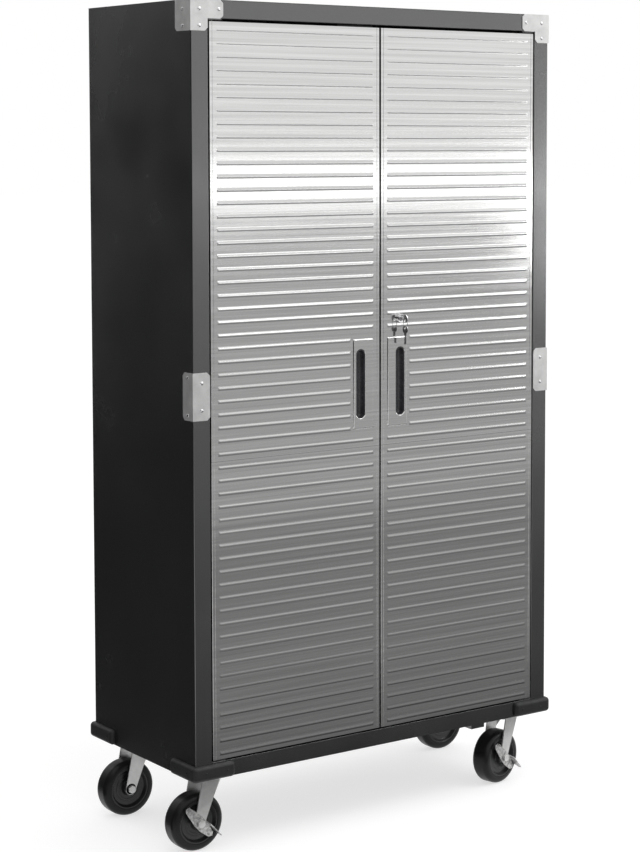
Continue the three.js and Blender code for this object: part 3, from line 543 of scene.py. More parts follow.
def brushed_steel(name, values, roughness):
    """Stainless sheet brushed across: long fine streaks in gloss, tone and relief."""
    steel = Finish(name, Metallic=1.0)
    fine = steel.noise(40.0, 3.0, 0.6, (0.12, 1.0, 30.0))
    broad = steel.noise(9.0, 3.0, 0.6, (0.12, 1.0, 14.0))
    steel.feed(
        Base_Color=steel.tint(broad, values, 0.87, 1.08),
        Roughness=steel.spread(fine, roughness - 0.05, roughness + 0.03),
        Normal=steel.bump(fine, 0.3, 0.004 * MM, steel.bump(broad, 1.0, 0.008 * MM)),
    )
    return steel.material


def zinc_plate(name, values, roughness, scale=38.0, dark=0.86):
    """Bright zinc plating: cloudy tone and small scuffs."""
    zinc = Finish(name, Metallic=0.72)
    zinc.feed(
        Base_Color=zinc.tint(zinc.noise(scale, 4.0, 0.6), values, dark, 1.08),
        Roughness=zinc.spread(zinc.noise(120.0, 3.0), roughness - 0.05, roughness + 0.07),
        Normal=zinc.bump(zinc.noise(260.0, 2.0), 0.05, 0.02 * MM),
    )
    return zinc.material


def polished_chrome(name, values):
    """Polished chrome with a trace of handling marks."""
    chrome = Finish(name, Metallic=1.0)
    marks = chrome.noise(70.0, 4.0)
    chrome.feed(Base_Color=chrome.tint(marks, values, 0.94, 1), Roughness=chrome.spread(marks, 0.08, 0.2))
    return chrome.material


def moulded_black(name, values, roughness, grain, relief, shine=0.5):
    """Black rubber or plastic with a moulded grain."""
    black = Finish(name, Specular_IOR_Level=shine)
    black.feed(
        Base_Color=black.tint(black.noise(24.0, 3.0), values, 0.8, 1.35),
        Roughness=black.spread(black.noise(60.0, 3.0), roughness - 0.05, roughness + 0.07),
        Normal=black.bump(black.noise(grain, 2.0), relief, 0.15 * MM),
    )
    return black.material


def finishes(context):
    """All finishes by name, made once."""
    wanted = context.scene.cabinet_finishes
    recipes = {
        "black powder coat": (powder_coat, wanted.paint, wanted.paint_gloss),
        "grey powder coat": (powder_coat, wanted.shelf, 0.5),
        "brushed stainless": (brushed_steel, wanted.steel, wanted.steel_gloss),
        "bright zinc": (zinc_plate, wanted.zinc, wanted.zinc_gloss),
        "worn zinc": (zinc_plate, wanted.zinc, wanted.zinc_gloss, 150.0, 0.3),
        "chrome": (polished_chrome, wanted.chrome),
        "bumper rubber": (moulded_black, wanted.rubber, 0.55, 420.0, 0.12),
        "wheel rubber": (moulded_black, shade(wanted.rubber, 0.6), 0.33, 300.0, 0.05, 0.25),
        "black plastic": (moulded_black, wanted.plastic, 0.32, 700.0, 0.05),
        "cup plastic": (moulded_black, shade(wanted.plastic, 5), 0.25, 700.0, 0.03),
        "key nickel": (polished_chrome, shade(wanted.chrome, 0.4)),
    }
    return {
        name: bpy.data.materials.get(name) or make(name, *values)
        for name, (make, *values) in recipes.items()
    }


# Body panels

class CABINET_OT_body(bpy.types.Operator):
    """Folded side panels, top, back, header and base"""

    bl_idname = "cabinet.body"
    bl_label = "Body panels"

    def execute(self, context):
        sizes = context.scene.cabinet_fittings
        paint = finishes(context)["black powder coat"]
        for side in SIDES:
            node = f"{side}_side_panel"
            low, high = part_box(node)
            inner, outer = inner_outer(node, side)
            corners = ((outer, low.y, None), (outer, high.y, None), (inner, low.y, None))
            panel = round_edges(copy_node(node), edges_along(Z, *corners), sizes.panel_fold)
            finish(smooth(panel), f"side_wall_{side}", "cabinet", "black_paint", paint, node)
        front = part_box("header_rail")[0].y
        rails = (
            ("header_rail", "header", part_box("header_rail")[0].z, sizes.panel_fold),
            ("base_frame", "base_tray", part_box("base_frame")[1].z, sizes.tray_fold),
        )
        for node, name, height, fold in rails:
            rail = round_edges(copy_node(node), edges_along(X, (None, front, height)), fold)
            finish(smooth(rail), name, "cabinet", "black_paint", paint, node)
        for node, name in (("top_panel", "top_sheet"), ("back_panel", "back_sheet")):
            finish_node(node, name, "cabinet", "black_paint", paint, 0.3)
        return {"FINISHED"}


# Doors

# Beads and pads start this far in front of their sheet, and rise from there
FORM_START = 0.02 * MM

# Steps of the pressed slopes: inwards as a share of a bead's width or the pad's rise, then of the rise
BEAD_STEP_SHARES = ((0.08, 0.06), (0.10, 0.20), (0.10, 0.30), (0.09, 0.28), (0.08, 0.16))
BEAD_LEAN_SHARE = 0.3
PAD_STEP_SHARES = ((0.15, 0.12), (0.3, 0.32), (0.35, 0.32), (0.3, 0.18), (0.2, 0.06))
PAD_CORNER = 4.2 * MM
HEM_DEPTH = 0.45 * MM
SLOT_REACH = 3 * MM
LOCK_BORE = 8.3 * MM
CUP_ROUND = 7 * MM
CUP_LIP_ROUND = 0.4 * MM


def rounded_slot(x, z, width, height, front, back):
    """An upright bar with round ends."""
    radius = width / 2
    reach = height / 2 - radius
    bar = start_round((x, (front + back) / 2, z), "y", radius, back - front, 40)
    for end in (-1, 1):
        choose(bar, "VERT", lambda co, end=end: (co.z - z) * end > NEAR)
        bpy.ops.transform.translate(value=(0, 0, end * reach))
    deselect_all()
    return bar


def bead_run(sizes, ends, face, heights):
    """Low swaged beads with tapering ends, steeper below than above, one pitch apart."""
    half = sizes.bead_width / 2
    bead = start_box(
        (ends[0], face - FORM_START, heights[0] - half),
        (ends[1], face + sizes.sheet / 2, heights[0] + half),
    )
    choose(bead, "FACE", facing(Y, -1))
    for across, rise in BEAD_STEP_SHARES:
        step = sizes.bead_width * across
        bpy.ops.mesh.inset(thickness=step, depth=sizes.bead_height * rise)
        bpy.ops.transform.translate(value=(0, 0, -step * BEAD_LEAN_SHARE))
    deselect_all()
    return repeat(bead, len(heights), (0, 0, sizes.bead_pitch))


def door_sheet(sizes, node, face, pad_side):
    """Ribbed sheet with folded edges. Beads beside a handle pad stop short of it."""
    low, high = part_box(node)
    sheet = start_box((low.x, face, low.z), high)
    open_up(sheet, lambda centre, normal: abs(normal.z) > ALONG or normal.y > ALONG)
    round_edges(sheet, edges_along(Z, (None, face, None)), sizes.fold)
    modify(sheet, "SOLIDIFY", thickness=sizes.sheet, offset=-1)
    half = sizes.hem_gap / 2
    for x in (low.x + sizes.hem, high.x - sizes.hem):
        groove = start_box(
            (x - half, face - OVERREACH, low.z - OVERREACH),
            (x + half, face + HEM_DEPTH, high.z + OVERREACH),
        )
        cut(sheet, groove)
    count = math.floor((high.z - low.z - 2 * sizes.bead_end) / sizes.bead_pitch) + 1
    first = (low.z + high.z - (count - 1) * sizes.bead_pitch) / 2
    heights = [first + i * sizes.bead_pitch for i in range(count)]
    wide = (low.x + sizes.bead_side, high.x - sizes.bead_side)
    if not pad_side:
        return join(sheet, bead_run(sizes, wide, face, heights))
    pad_reach = sizes.pad_edge + sizes.pad_width + sizes.bead_pad_gap
    narrow = (low.x + pad_reach, wide[1]) if pad_side > 0 else (wide[0], high.x - pad_reach)
    pad_high = sizes.pad_low + sizes.pad_height
    runs = (
        (wide, [z for z in heights if z <= sizes.pad_low]),
        (narrow, [z for z in heights if sizes.pad_low < z < pad_high]),
        (wide, [z for z in heights if z >= pad_high]),
    )
    return join(sheet, *(bead_run(sizes, ends, face, beads) for ends, beads in runs))


def handle_pad(sizes, inner, sign, face):
    """Raised pad, its front stepping up from the sheet in a soft slope."""
    near = inner + sign * sizes.pad_edge
    edges = sorted((near, near + sign * sizes.pad_width))
    pad = start_box(
        (edges[0], face - FORM_START, sizes.pad_low),
        (edges[1], face + sizes.sheet / 2, sizes.pad_low + sizes.pad_height),
    )
    round_edges(pad, edges_along(Y), PAD_CORNER, 5)
    inset_by(pad, facing(Y, -1), PAD_STEP_SHARES, sizes.pad_rise, sizes.pad_rise - FORM_START)
    deselect_all()
    return pad


def handle_sheet(sizes, side, face):
    """A door's upper sheet with its handle pad, finger slot and, on the right, lock hole."""
    sign = SIDES[side]
    node = f"door_{side}_upper_skin"
    middle = centre_of(f"handle_cup_{side}")
    front = face - sizes.pad_rise
    slot = rounded_slot(
        middle.x, middle.z, sizes.slot_width, sizes.slot_height, front - OVERREACH, face + SLOT_REACH
    )
    sheet = cut(door_sheet(sizes, node, face, sign), twin(slot))
    pad = cut(handle_pad(sizes, inner_outer(node, side)[0], sign, face), slot)
    round_edges(
        pad,
        lambda at, along: abs(at.y - front) < NEAR
        and abs(at.x - middle.x) < sizes.slot_width / 2 + NEAR
        and abs(at.z - middle.z) < sizes.slot_height / 2 + NEAR,
        sizes.slot_lip, 5,
    )
    if side == "right":
        centre = centre_of("lock_barrel")
        cut(sheet, start_round((centre.x, face, centre.z), "y", LOCK_BORE, 2 * SLOT_REACH))
    return smooth(join(sheet, pad))


class CABINET_OT_doors(bpy.types.Operator):
    """Door pans, and the ribbed sheets with their handle pads"""

    bl_idname = "cabinet.doors"
    bl_label = "Doors"

    def execute(self, context):
        sizes = context.scene.cabinet_doors
        paints = finishes(context)
        black, steel = paints["black powder coat"], paints["brushed stainless"]
        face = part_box("door_left_upper_skin")[0].y + sizes.pad_rise
        first = "door_left_lower_skin"
        lower_mould = smooth(door_sheet(sizes, first, face, 0))
        for side in SIDES:
            body = f"door_{side}"
            finish_node(f"{body}_pan", f"pan_{side}", body, "black_paint", black, 0.3)
            node = f"{body}_lower_skin"
            lower = place_copy(lower_mould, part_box(node)[0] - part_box(first)[0])
            finish(lower, f"lower_sheet_{side}", body, "stainless", steel, node)
            upper = handle_sheet(sizes, side, face)
            finish(upper, f"upper_sheet_{side}", body, "stainless", steel, f"{body}_upper_skin")
        discard(lower_mould)
        return {"FINISHED"}


def finger_cup(node, wall):
    """An upright cup with round ends, open to the front."""
    low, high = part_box(node)
    middle = centre_of(node)
    back = high.y - wall
    width, height = high.x - low.x - 2 * wall, high.z - low.z - 2 * wall
    cup = rounded_slot(middle.x, middle.z, width, height, low.y, back)
    open_up(cup, facing(Y, -1))
    round_edges(cup, edges_at(Y, back), CUP_ROUND, 7)
    modify(cup, "SOLIDIFY", thickness=wall, offset=1)
    round_edges(cup, edges_at(Y, low.y), CUP_LIP_ROUND, 2)
    return smooth(cup)


class CABINET_OT_handles(bpy.types.Operator):
    """Finger cups behind the slots of the handle pads"""

    bl_idname = "cabinet.handles"
    bl_label = "Finger cups"

    def execute(self, context):
        plastic = finishes(context)["cup plastic"]
        first = "handle_cup_left"
        mould = finger_cup(first, context.scene.cabinet_doors.cup_wall)
        for side in SIDES:
            node = f"handle_cup_{side}"
            cup = place_copy(mould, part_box(node)[0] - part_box(first)[0])
            finish(cup, f"finger_cup_{side}", f"door_{side}", "cup_plastic", plastic, node)
        discard(mould)
        return {"FINISHED"}


# Lock and keys

BEZEL_RADIUS = 10 * MM
BEZEL_DEPTH = 6 * MM
BEZEL_EDGE = 0.45 * MM
BEZEL_STEPS = ((2.2, 0), (1.2, -0.7), (1.05, 0))
TUBE_EDGE = 0.2 * MM
TUBE_SINK = 0.1 * MM
PLUG_RADIUS = 5.2 * MM
PLUG_SINK = 5 * MM
PLUG_EDGE = 0.35 * MM
KEYWAY = Vector((2.6, 18, 7)) * MM
KEY_THICKNESS = 2 * MM
BOW_RADIUS = 9 * MM
BOW_STEPS = ((1.6, 0), (0.4, -0.3))
BOW_HOLE = 3.4 * MM
BOW_HOLE_OFFSET = 4 * MM
BLADE_START_SHARE = 0.8
BLADE_HEIGHT = 6 * MM
BLADE_GROOVE = 0.4 * MM
BLADE_GROOVE_SHARE = 0.22
NOTCH_WIDTH = 1.8 * MM
NOTCH_PLACE_SHARES = (0.12, 0.26, 0.4, 0.54, 0.68)
NOTCH_DEPTHS = (1.1, 1.8, 0.8, 1.6, 1.2)
KEY_EDGE = 0.2 * MM
SPARE_BLADE = 24 * MM
RING_RADIUS = 6 * MM
RING_WIRE = 0.42 * MM
RING_STEP = 0.9 * MM
RING_DROP = 6.8 * MM


def lock_bezel(centre, front):
    """The lock's round front, dished and sunk for the plug."""
    place = (centre.x, front + BEZEL_DEPTH / 2, centre.z)
    bezel = start_round(place, "y", BEZEL_RADIUS, BEZEL_DEPTH, 64)
    inset_by(bezel, facing(Y, -1), BEZEL_STEPS)
    extrude((0, PLUG_SINK, 0))
    deselect_all()
    return soften(bezel, BEZEL_EDGE, 3)


def lock_housing(centre):
    """The bezel on the CAD barrel's tube."""
    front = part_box("lock_barrel")[0].y
    bezel = lock_bezel(centre, front)
    tube = copy_node("lock_barrel", TUBE_EDGE)
    tube_front = front + BEZEL_DEPTH - TUBE_SINK
    open_up(tube, lambda middle, normal: middle.y < tube_front)
    return smooth(join(bezel, tube))


def lock_core(centre):
    """The plug with its keyway."""
    low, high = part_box("lock_plug")
    place = (centre.x, (low.y + high.y) / 2, centre.z)
    plug = soften(start_round(place, "y", PLUG_RADIUS, high.y - low.y), PLUG_EDGE)
    keyway = start_box(
        (centre.x - KEYWAY.x / 2, low.y - OVERREACH, centre.z - KEYWAY.z / 2),
        (centre.x + KEYWAY.x / 2, low.y + KEYWAY.y, centre.z + KEYWAY.z / 2),
    )
    return smooth(cut(plug, keyway))


def key_bow(centre, offset):
    """A round flat bow with its hole and a thinner web."""
    bow = start_round(centre, "x", BOW_RADIUS, KEY_THICKNESS, 56)
    inset_by(bow, lambda middle, normal: abs(normal.x) > ALONG, BOW_STEPS)
    deselect_all()
    hole_centre = (centre[0], centre[1], centre[2] + offset)
    return cut(bow, start_round(hole_centre, "x", BOW_HOLE, 3 * KEY_THICKNESS, 32))


def key_blade(low, high):
    """A flat blade with one long groove on each side and notches along one edge."""
    blade = start_box(low, high)
    middle, size = (low + high) / 2, high - low
    longest, across = (Y, Z) if size.y > size.z else (Z, Y)
    for side in (-1, 1):
        reach = size.copy()
        reach.x = 2 * BLADE_GROOVE
        reach[across] *= BLADE_GROOVE_SHARE
        centre = middle.copy()
        centre.x += side * size.x / 2
        cut(blade, start_box(centre - reach / 2, centre + reach / 2))
    for place, depth in zip(NOTCH_PLACE_SHARES, NOTCH_DEPTHS):
        notch_low, notch_high = low.copy(), high.copy()
        notch_low.x -= OVERREACH
        notch_high.x += OVERREACH
        at = low[longest] + size[longest] * place
        notch_low[longest], notch_high[longest] = at - NOTCH_WIDTH / 2, at + NOTCH_WIDTH / 2
        notch_low[across] = high[across] - depth * MM
        notch_high[across] += OVERREACH
        cut(blade, start_box(notch_low, notch_high))
    return blade


def key_in_lock(centre):
    """The key with its bow upright and its blade level, towards the plug."""
    low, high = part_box("key")
    bow_y = low.y + BOW_RADIUS
    bow = key_bow((centre.x, bow_y, centre.z), -BOW_HOLE_OFFSET)
    half = BLADE_HEIGHT / 2
    blade = key_blade(
        Vector((low.x, bow_y + BLADE_START_SHARE * BOW_RADIUS, centre.z - half)),
        Vector((high.x, high.y, centre.z + half)),
    )
    return smooth(soften(join(bow, blade), KEY_EDGE))


def key_on_ring(centre):
    """The spare key with its blade down, and the two turns of the ring that holds it."""
    low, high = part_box("spare_key")
    bow_y = (low.y + high.y) / 2
    bow_z = low.z + SPARE_BLADE + BOW_RADIUS
    bow = key_bow((centre.x, bow_y, bow_z), BOW_HOLE_OFFSET)
    reach = Vector((KEY_THICKNESS, BLADE_HEIGHT, 0)) / 2
    blade_foot = Vector((centre.x, bow_y, low.z))
    blade_head = Vector((centre.x, bow_y, bow_z - BLADE_START_SHARE * BOW_RADIUS))
    blade = key_blade(blade_foot - reach, blade_head + reach)
    hanging = soften(join(bow, blade), KEY_EDGE)
    deselect_all()
    bpy.ops.mesh.primitive_torus_add(
        major_segments=48, minor_segments=10, major_radius=RING_RADIUS, minor_radius=RING_WIRE,
        location=(centre.x, bow_y - RING_STEP / 2, high.z - RING_DROP), rotation=TURNS["y"],
    )
    ring = repeat(settle(bpy.context.active_object), 2, (0, RING_STEP, 0))
    return smooth(join(hanging, ring))


class CABINET_OT_lock(bpy.types.Operator):
    """Cylinder lock, cam, rods, key and the spare key on its ring"""

    bl_idname = "cabinet.lock"
    bl_label = "Lock and keys"

    def execute(self, context):
        paints = finishes(context)
        chrome, zinc = paints["chrome"], paints["bright zinc"]
        centre = centre_of("lock_barrel")
        finish(lock_housing(centre), "lock_housing", "door_right", "lock_chrome", chrome, "lock_barrel")
        finish(lock_core(centre), "lock_core", "lock_turn", "lock_chrome", chrome, "lock_plug")
        finish_node("lock_cam", "cam", "lock_turn", "zinc_steel", zinc, 0.3)
        for end in ("upper", "lower"):
            node = f"lock_rod_{end}"
            finish_node(node, f"rod_{end}", node, "zinc_steel", zinc, 0.4)
        finish(key_in_lock(centre), "door_key", "lock_turn", "lock_chrome", chrome, "key")
        spare = key_on_ring(centre)
        finish(spare, "second_key", "spare_key", "lock_chrome", paints["key nickel"], "spare_key")
        return {"FINISHED"}


# Brackets and bumpers

BRACKET_FACE = 1.8 * MM
BRACKET_EDGE = 0.4 * MM
BUMPER_REACH = 11 * MM
BUMPER_ARM = 94 * MM
BUMPER_GAP = 0.3 * MM
BUMPER_END_STEPS = 5
BUMPER_CORNER_STEPS = 10
SCREW_DEPTH = 1.8 * MM
SCREW_SINK = 0.65 * MM
SCREW_STEPS = ((0.8, 0.5), (0.9, 0), (0.2, -1.1))


def rivet_dome(sizes, axis):
    """A domed rivet head, its lower half to be sunk in the plate."""
    deselect_all()
    bpy.ops.mesh.primitive_uv_sphere_add(segments=24, ring_count=12, radius=1)
    dome = bpy.context.active_object
    flat = [sizes.rivet_radius] * 3
    flat["xy".index(axis)] = sizes.rivet_rise
    dome.scale = flat
    return settle(dome)


def rivet_places(sizes, kind, side):
    """Where a bracket's rivets sit, each with the axis that it faces along."""
    row, edge, sign = sizes.rivet_row, sizes.rivet_edge, SIDES[side]
    node = f"{kind}_bracket_{side}"
    low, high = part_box(node)
    outer = inner_outer(f"{side}_side_panel", side)[1]
    post_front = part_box("header_rail")[0].y
    near, depth = outer - sign * row, (post_front + high.y) / 2
    if kind == "top":
        far = inner_outer(node, side)[0] + sign * edge
        fronts = ((near, high.z - row), (far, high.z - row), (near, low.z + edge))
        heights = (high.z - row, low.z + edge)
    else:
        fronts = ((near, low.z + 2 * edge), (near, high.z - 2 * edge))
        heights = (low.z + edge, high.z - edge)
    places = [("y", (x, post_front - BRACKET_FACE, z)) for x, z in fronts]
    return places + [("x", (outer + sign * BRACKET_FACE, depth, z)) for z in heights]


class CABINET_OT_brackets(bpy.types.Operator):
    """Corner and middle brackets with domed rivets"""

    bl_idname = "cabinet.brackets"
    bl_label = "Brackets"

    def execute(self, context):
        sizes = context.scene.cabinet_fittings
        paints = finishes(context)
        moulds = {axis: coat_with(rivet_dome(sizes, axis), paints["chrome"]) for axis in "xy"}
        for side in SIDES:
            for kind in ("top", "mid"):
                node = f"{kind}_bracket_{side}"
                places = rivet_places(sizes, kind, side)
                domes = [place_copy(moulds[axis], place) for axis, place in places]
                plate = copy_node(node, BRACKET_EDGE)
                plate.data.materials.clear()
                bracket = smooth(join(coat_with(plate, paints["bright zinc"]), *domes))
                finish(bracket, f"{kind}_corner_plate_{side}", "cabinet", "zinc_steel", None, node)
        discard(*moulds.values())
        return {"FINISHED"}


def bumper_shape(sizes, low, high):
    """A corner bumper at its own corner, arms along +X and +Y, rounded like a bolster."""
    middle = (low + high) / 2
    end = sizes.bumper_end
    shape = start_box((-BUMPER_GAP, -BUMPER_REACH, low), (BUMPER_ARM - end, -BUMPER_GAP, high))
    round_edges(shape, edges_along(X, (None, -BUMPER_REACH, None)), sizes.bumper_round, 6)
    choose(shape, "FACE", facing(X, -1))
    bpy.ops.mesh.spin(
        steps=BUMPER_CORNER_STEPS, angle=math.pi / 2, center=(-BUMPER_GAP, -BUMPER_GAP, 0), axis=(0, 0, 1)
    )
    extrude((0, BUMPER_ARM + BUMPER_GAP - end, 0))
    thickness, height = BUMPER_REACH - BUMPER_GAP, high - low
    turns = [math.pi / 2 * step / BUMPER_END_STEPS for step in range(BUMPER_END_STEPS + 1)]
    for index in (X, Y):
        tip = [-BUMPER_GAP, -BUMPER_GAP, middle]
        tip[index] = BUMPER_ARM
        choose(
            shape, "FACE",
            lambda centre, normal, index=index: normal[index] > ALONG
            and centre[index] > BUMPER_ARM - end - NEAR,
        )
        for before, after in zip(turns, turns[1:]):
            move = [0, 0, 0]
            move[index] = end * (math.sin(after) - math.sin(before))
            extrude(move)
            narrow, wide = (end * (1 - math.cos(turn)) for turn in (after, before))
            factor = [(thickness - narrow) / (thickness - wide)] * 2
            factor[index] = 1
            factor.append((height - 2 * narrow) / (height - 2 * wide))
            bpy.ops.transform.resize(value=factor, center_override=tip)
    choose(shape, "FACE", lambda centre, normal: True)
    bpy.ops.mesh.remove_doubles(threshold=MERGE)
    bpy.ops.mesh.normals_make_consistent(inside=False)
    deselect_all()
    return shape


def bumper_screws(sizes, middle):
    """Two low screw heads with recesses on each arm of a bumper, facing along -X or -Y."""
    heads = []
    for index, axis in enumerate("xy"):
        mould = start_round((0, 0, 0), axis, sizes.screw_radius, SCREW_DEPTH, 32)
        inset_by(mould, facing(index, -1), SCREW_STEPS)
        deselect_all()
        for along in (sizes.screw_near, sizes.screw_far):
            place = [along, along, middle]
            place[index] = SCREW_SINK - BUMPER_REACH
            heads.append(place_copy(mould, place))
        discard(mould)
    return heads


class CABINET_OT_bumpers(bpy.types.Operator):
    """Moulded bumpers round the four lower corners"""

    bl_idname = "cabinet.bumpers"
    bl_label = "Bumpers"

    def execute(self, context):
        sizes = context.scene.cabinet_fittings
        paints = finishes(context)
        low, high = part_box("bumper_front_left")
        shape = coat_with(bumper_shape(sizes, low.z, high.z), paints["bumper rubber"])
        heads = bumper_screws(sizes, (low.z + high.z) / 2)
        for head in heads:
            coat_with(head, paints["black plastic"])
        mould = smooth(join(shape, *heads))
        front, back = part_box("left_side_panel")
        places = {
            "front_left": (front.x, front.y, 0),
            "front_right": (-front.x, front.y, math.pi / 2),
            "rear_right": (-front.x, back.y, math.pi),
            "rear_left": (front.x, back.y, -math.pi / 2),
        }
        for name, (x, y, turn) in places.items():
            bumper = place_copy(mould, (x, y, 0), turn)
            finish(bumper, f"corner_bumper_{name}", "cabinet", "bumper_rubber", None, f"bumper_{name}")
        discard(mould)
        return {"FINISHED"}


# Casters

HUB = Vector((-32, 0, 63.5)) * MM
PLATE_LENGTH = 95 * MM
PLATE_WIDTH = 70 * MM
PLATE_CORNER = 6 * MM
PLATE_EDGE = 0.4 * MM
PLATE_TOP = 169.7 * MM
PLATE_FOOT = 166.7 * MM
BOLT_PLACES = ((-36.5, -24), (-36.5, 24), (36.5, -24), (36.5, 24))
WHEEL_RADIUS = 63.5 * MM
WHEEL_WIDTH = 45 * MM
WHEEL_DEGREES = 34
RUBBER_START = 46.5 * MM
AXLE_RADIUS = 6 * MM
AXLE_REACH = 28.8 * MM
AXLE_END = 4 * MM
NUT_RADIUS = 9.5 * MM
NUT_HEIGHT = 6 * MM
NUT_EDGE = 0.7 * MM
ROD_EDGE = 0.5 * MM
LEVER_ROOM = 2.5 * MM
BOSS_RADIUS = 13 * MM
BOSS_DEPTH = 3 * MM
BOSS_PLACE = 27 * MM
BOSS_BORE = 6.3 * MM
BOSS_EDGE = 0.7 * MM
CROWN_EDGE = 1.3 * MM
RACE_ROUND = 2 * MM
PIN_HEAD_EDGE = 1.2 * MM
BOLT_EDGE = 0.5 * MM
FORK_EDGE = 0.7 * MM
HEEL_START = 17 * MM
HEEL_NARROW_SHARE = 0.74
RACE_NARROW_SHARE = 0.86

# The way from the hub to a brake lever's heel, 48 degrees above level
LEVER_HEEL = Vector((-math.cos(math.radians(48)), 0, math.sin(math.radians(48))))

# Round parts about an upright axis: radius, foot and head above the floor in millimetres
RACE = (26, 157.7, 167)
KING_PIN = (7, 145.3, 166.7)
PIN_HEAD = (11, 149, 152.8)
BOLT = (6, 161.7, 167)
CROWN = (28, 153.4, 157.4)
CROWN_HOLE = (7.4, 149.4, 161.4)

# The wheel's sides from the tread inwards: each step's way inwards and outwards in millimetres
WHEEL_STEPS = (
    (3.5, 0), (0.6, -0.8), (0.6, 0), (0.6, 0.5), (2.2, 0), (1.2, -1.2), (2.6, -5.2), (1.4, -1.0),
    (8.0, 0), (0.8, 0.7), (5.0, 0), (0.8, -0.7), (7.0, 0), (1.4, 1.6), (1.6, 7.0), (0.8, 0.6),
)


def caster_places():
    """Each caster's swivel, its turn, and whether it has a brake, from the frame's joints."""
    points = {joint["name"]: Vector(joint.get("pos_m", (0, 0, 0))) for joint in frame["joints"]}
    for name in CASTERS:
        swivel = points[f"swivel_{name}"]
        reach = swivel - points[f"wheel_spin_{name}"]
        yield name, (swivel.x, swivel.y, 0), math.atan2(reach.y, reach.x), f"brake_{name}" in points


def upright_round(part, sides, x=0, y=0):
    """A round part about an upright axis."""
    radius, foot, head = part
    centre = (x * MM, y * MM, (foot + head) / 2 * MM)
    return start_round(centre, "z", radius * MM, (head - foot) * MM, sides)


def mounting_plate():
    """Top plate with its ball race, king pin and hexagon bolts, about the swivel axis."""
    plate = start_box(
        (-PLATE_LENGTH / 2, -PLATE_WIDTH / 2, PLATE_FOOT), (PLATE_LENGTH / 2, PLATE_WIDTH / 2, PLATE_TOP)
    )
    soften(round_edges(plate, edges_along(Z), PLATE_CORNER, 5), PLATE_EDGE)
    race = upright_round(RACE, 72)
    choose(race, "FACE", facing(Z, -1))
    bpy.ops.transform.resize(value=(RACE_NARROW_SHARE, RACE_NARROW_SHARE, 1))
    deselect_all()
    round_edges(race, edges_at(Z, RACE[1] * MM), RACE_ROUND)
    pin = upright_round(KING_PIN, 32)
    head = soften(upright_round(PIN_HEAD, 48), PIN_HEAD_EDGE, 3)
    bolts = [soften(upright_round(BOLT, 6, x, y), BOLT_EDGE) for x, y in BOLT_PLACES]
    return smooth(join(plate, race, pin, head, *bolts))


def wheel_shape(sizes, paints):
    """Crowned rubber tread, stepped and dished plastic sides and a hub, about the axle."""
    wheel = start_round((0, 0, 0), "y", WHEEL_RADIUS, WHEEL_WIDTH, 96)
    rim = WHEEL_WIDTH / 2
    round_edges(wheel, lambda middle, along: abs(abs(middle.y) - rim) < NEAR, sizes.tread_round, 6)
    inset_by(wheel, lambda centre, normal: abs(normal.y) > SQUARE, WHEEL_STEPS)
    smooth(wheel, WHEEL_DEGREES)
    coat_with(wheel, paints["wheel rubber"], paints["black plastic"])
    for face in wheel.data.polygons:
        face.material_index = int(math.hypot(face.center.x, face.center.z) < RUBBER_START)
    return wheel


def axle_bolt(outside):
    """Axle with a hexagon head and nut about its own middle, the head further out by a lever."""
    ends = (-AXLE_REACH - outside, AXLE_REACH)
    depth = ends[1] - ends[0] + 2 * AXLE_END
    rod = soften(start_round((0, sum(ends) / 2, 0), "y", AXLE_RADIUS, depth, 32), ROD_EDGE)
    nuts = []
    for end, side in zip(ends, (-1, 1)):
        place = (0, end + side * NUT_HEIGHT / 2, 0)
        nuts.append(soften(start_round(place, "y", NUT_RADIUS, NUT_HEIGHT, 6), NUT_EDGE))
    return smooth(join(rod, *nuts))


def fork_extras():
    """A fork's round crown and its two axle bosses, about the swivel axis."""
    crown = soften(upright_round(CROWN, 72), CROWN_EDGE, 3)
    cut(crown, upright_round(CROWN_HOLE, 32))
    place = (HUB.x, -BOSS_PLACE, HUB.z)
    boss = soften(start_round(place, "y", BOSS_RADIUS, BOSS_DEPTH, 64), BOSS_EDGE)
    cut(boss, start_round(place, "y", BOSS_BORE, BOSS_DEPTH + 2 * OVERREACH, 32))
    return join(crown, repeat(boss, 2, (0, 2 * BOSS_PLACE, 0)))


def brake_lever(sizes, node, hub, turn):
    """A brake lever with its heel drawn out and tapered."""
    lever = copy_node(node, sizes.lever_round, 3)
    along = Matrix.Rotation(turn, 3, "Z") @ LEVER_HEEL
    choose(lever, "VERT", lambda co: (co - hub).dot(along) > HEEL_START)
    bpy.ops.transform.translate(value=along * sizes.lever_heel)
    bpy.ops.transform.resize(value=(HEEL_NARROW_SHARE,) * 3)
    return smooth(lever)


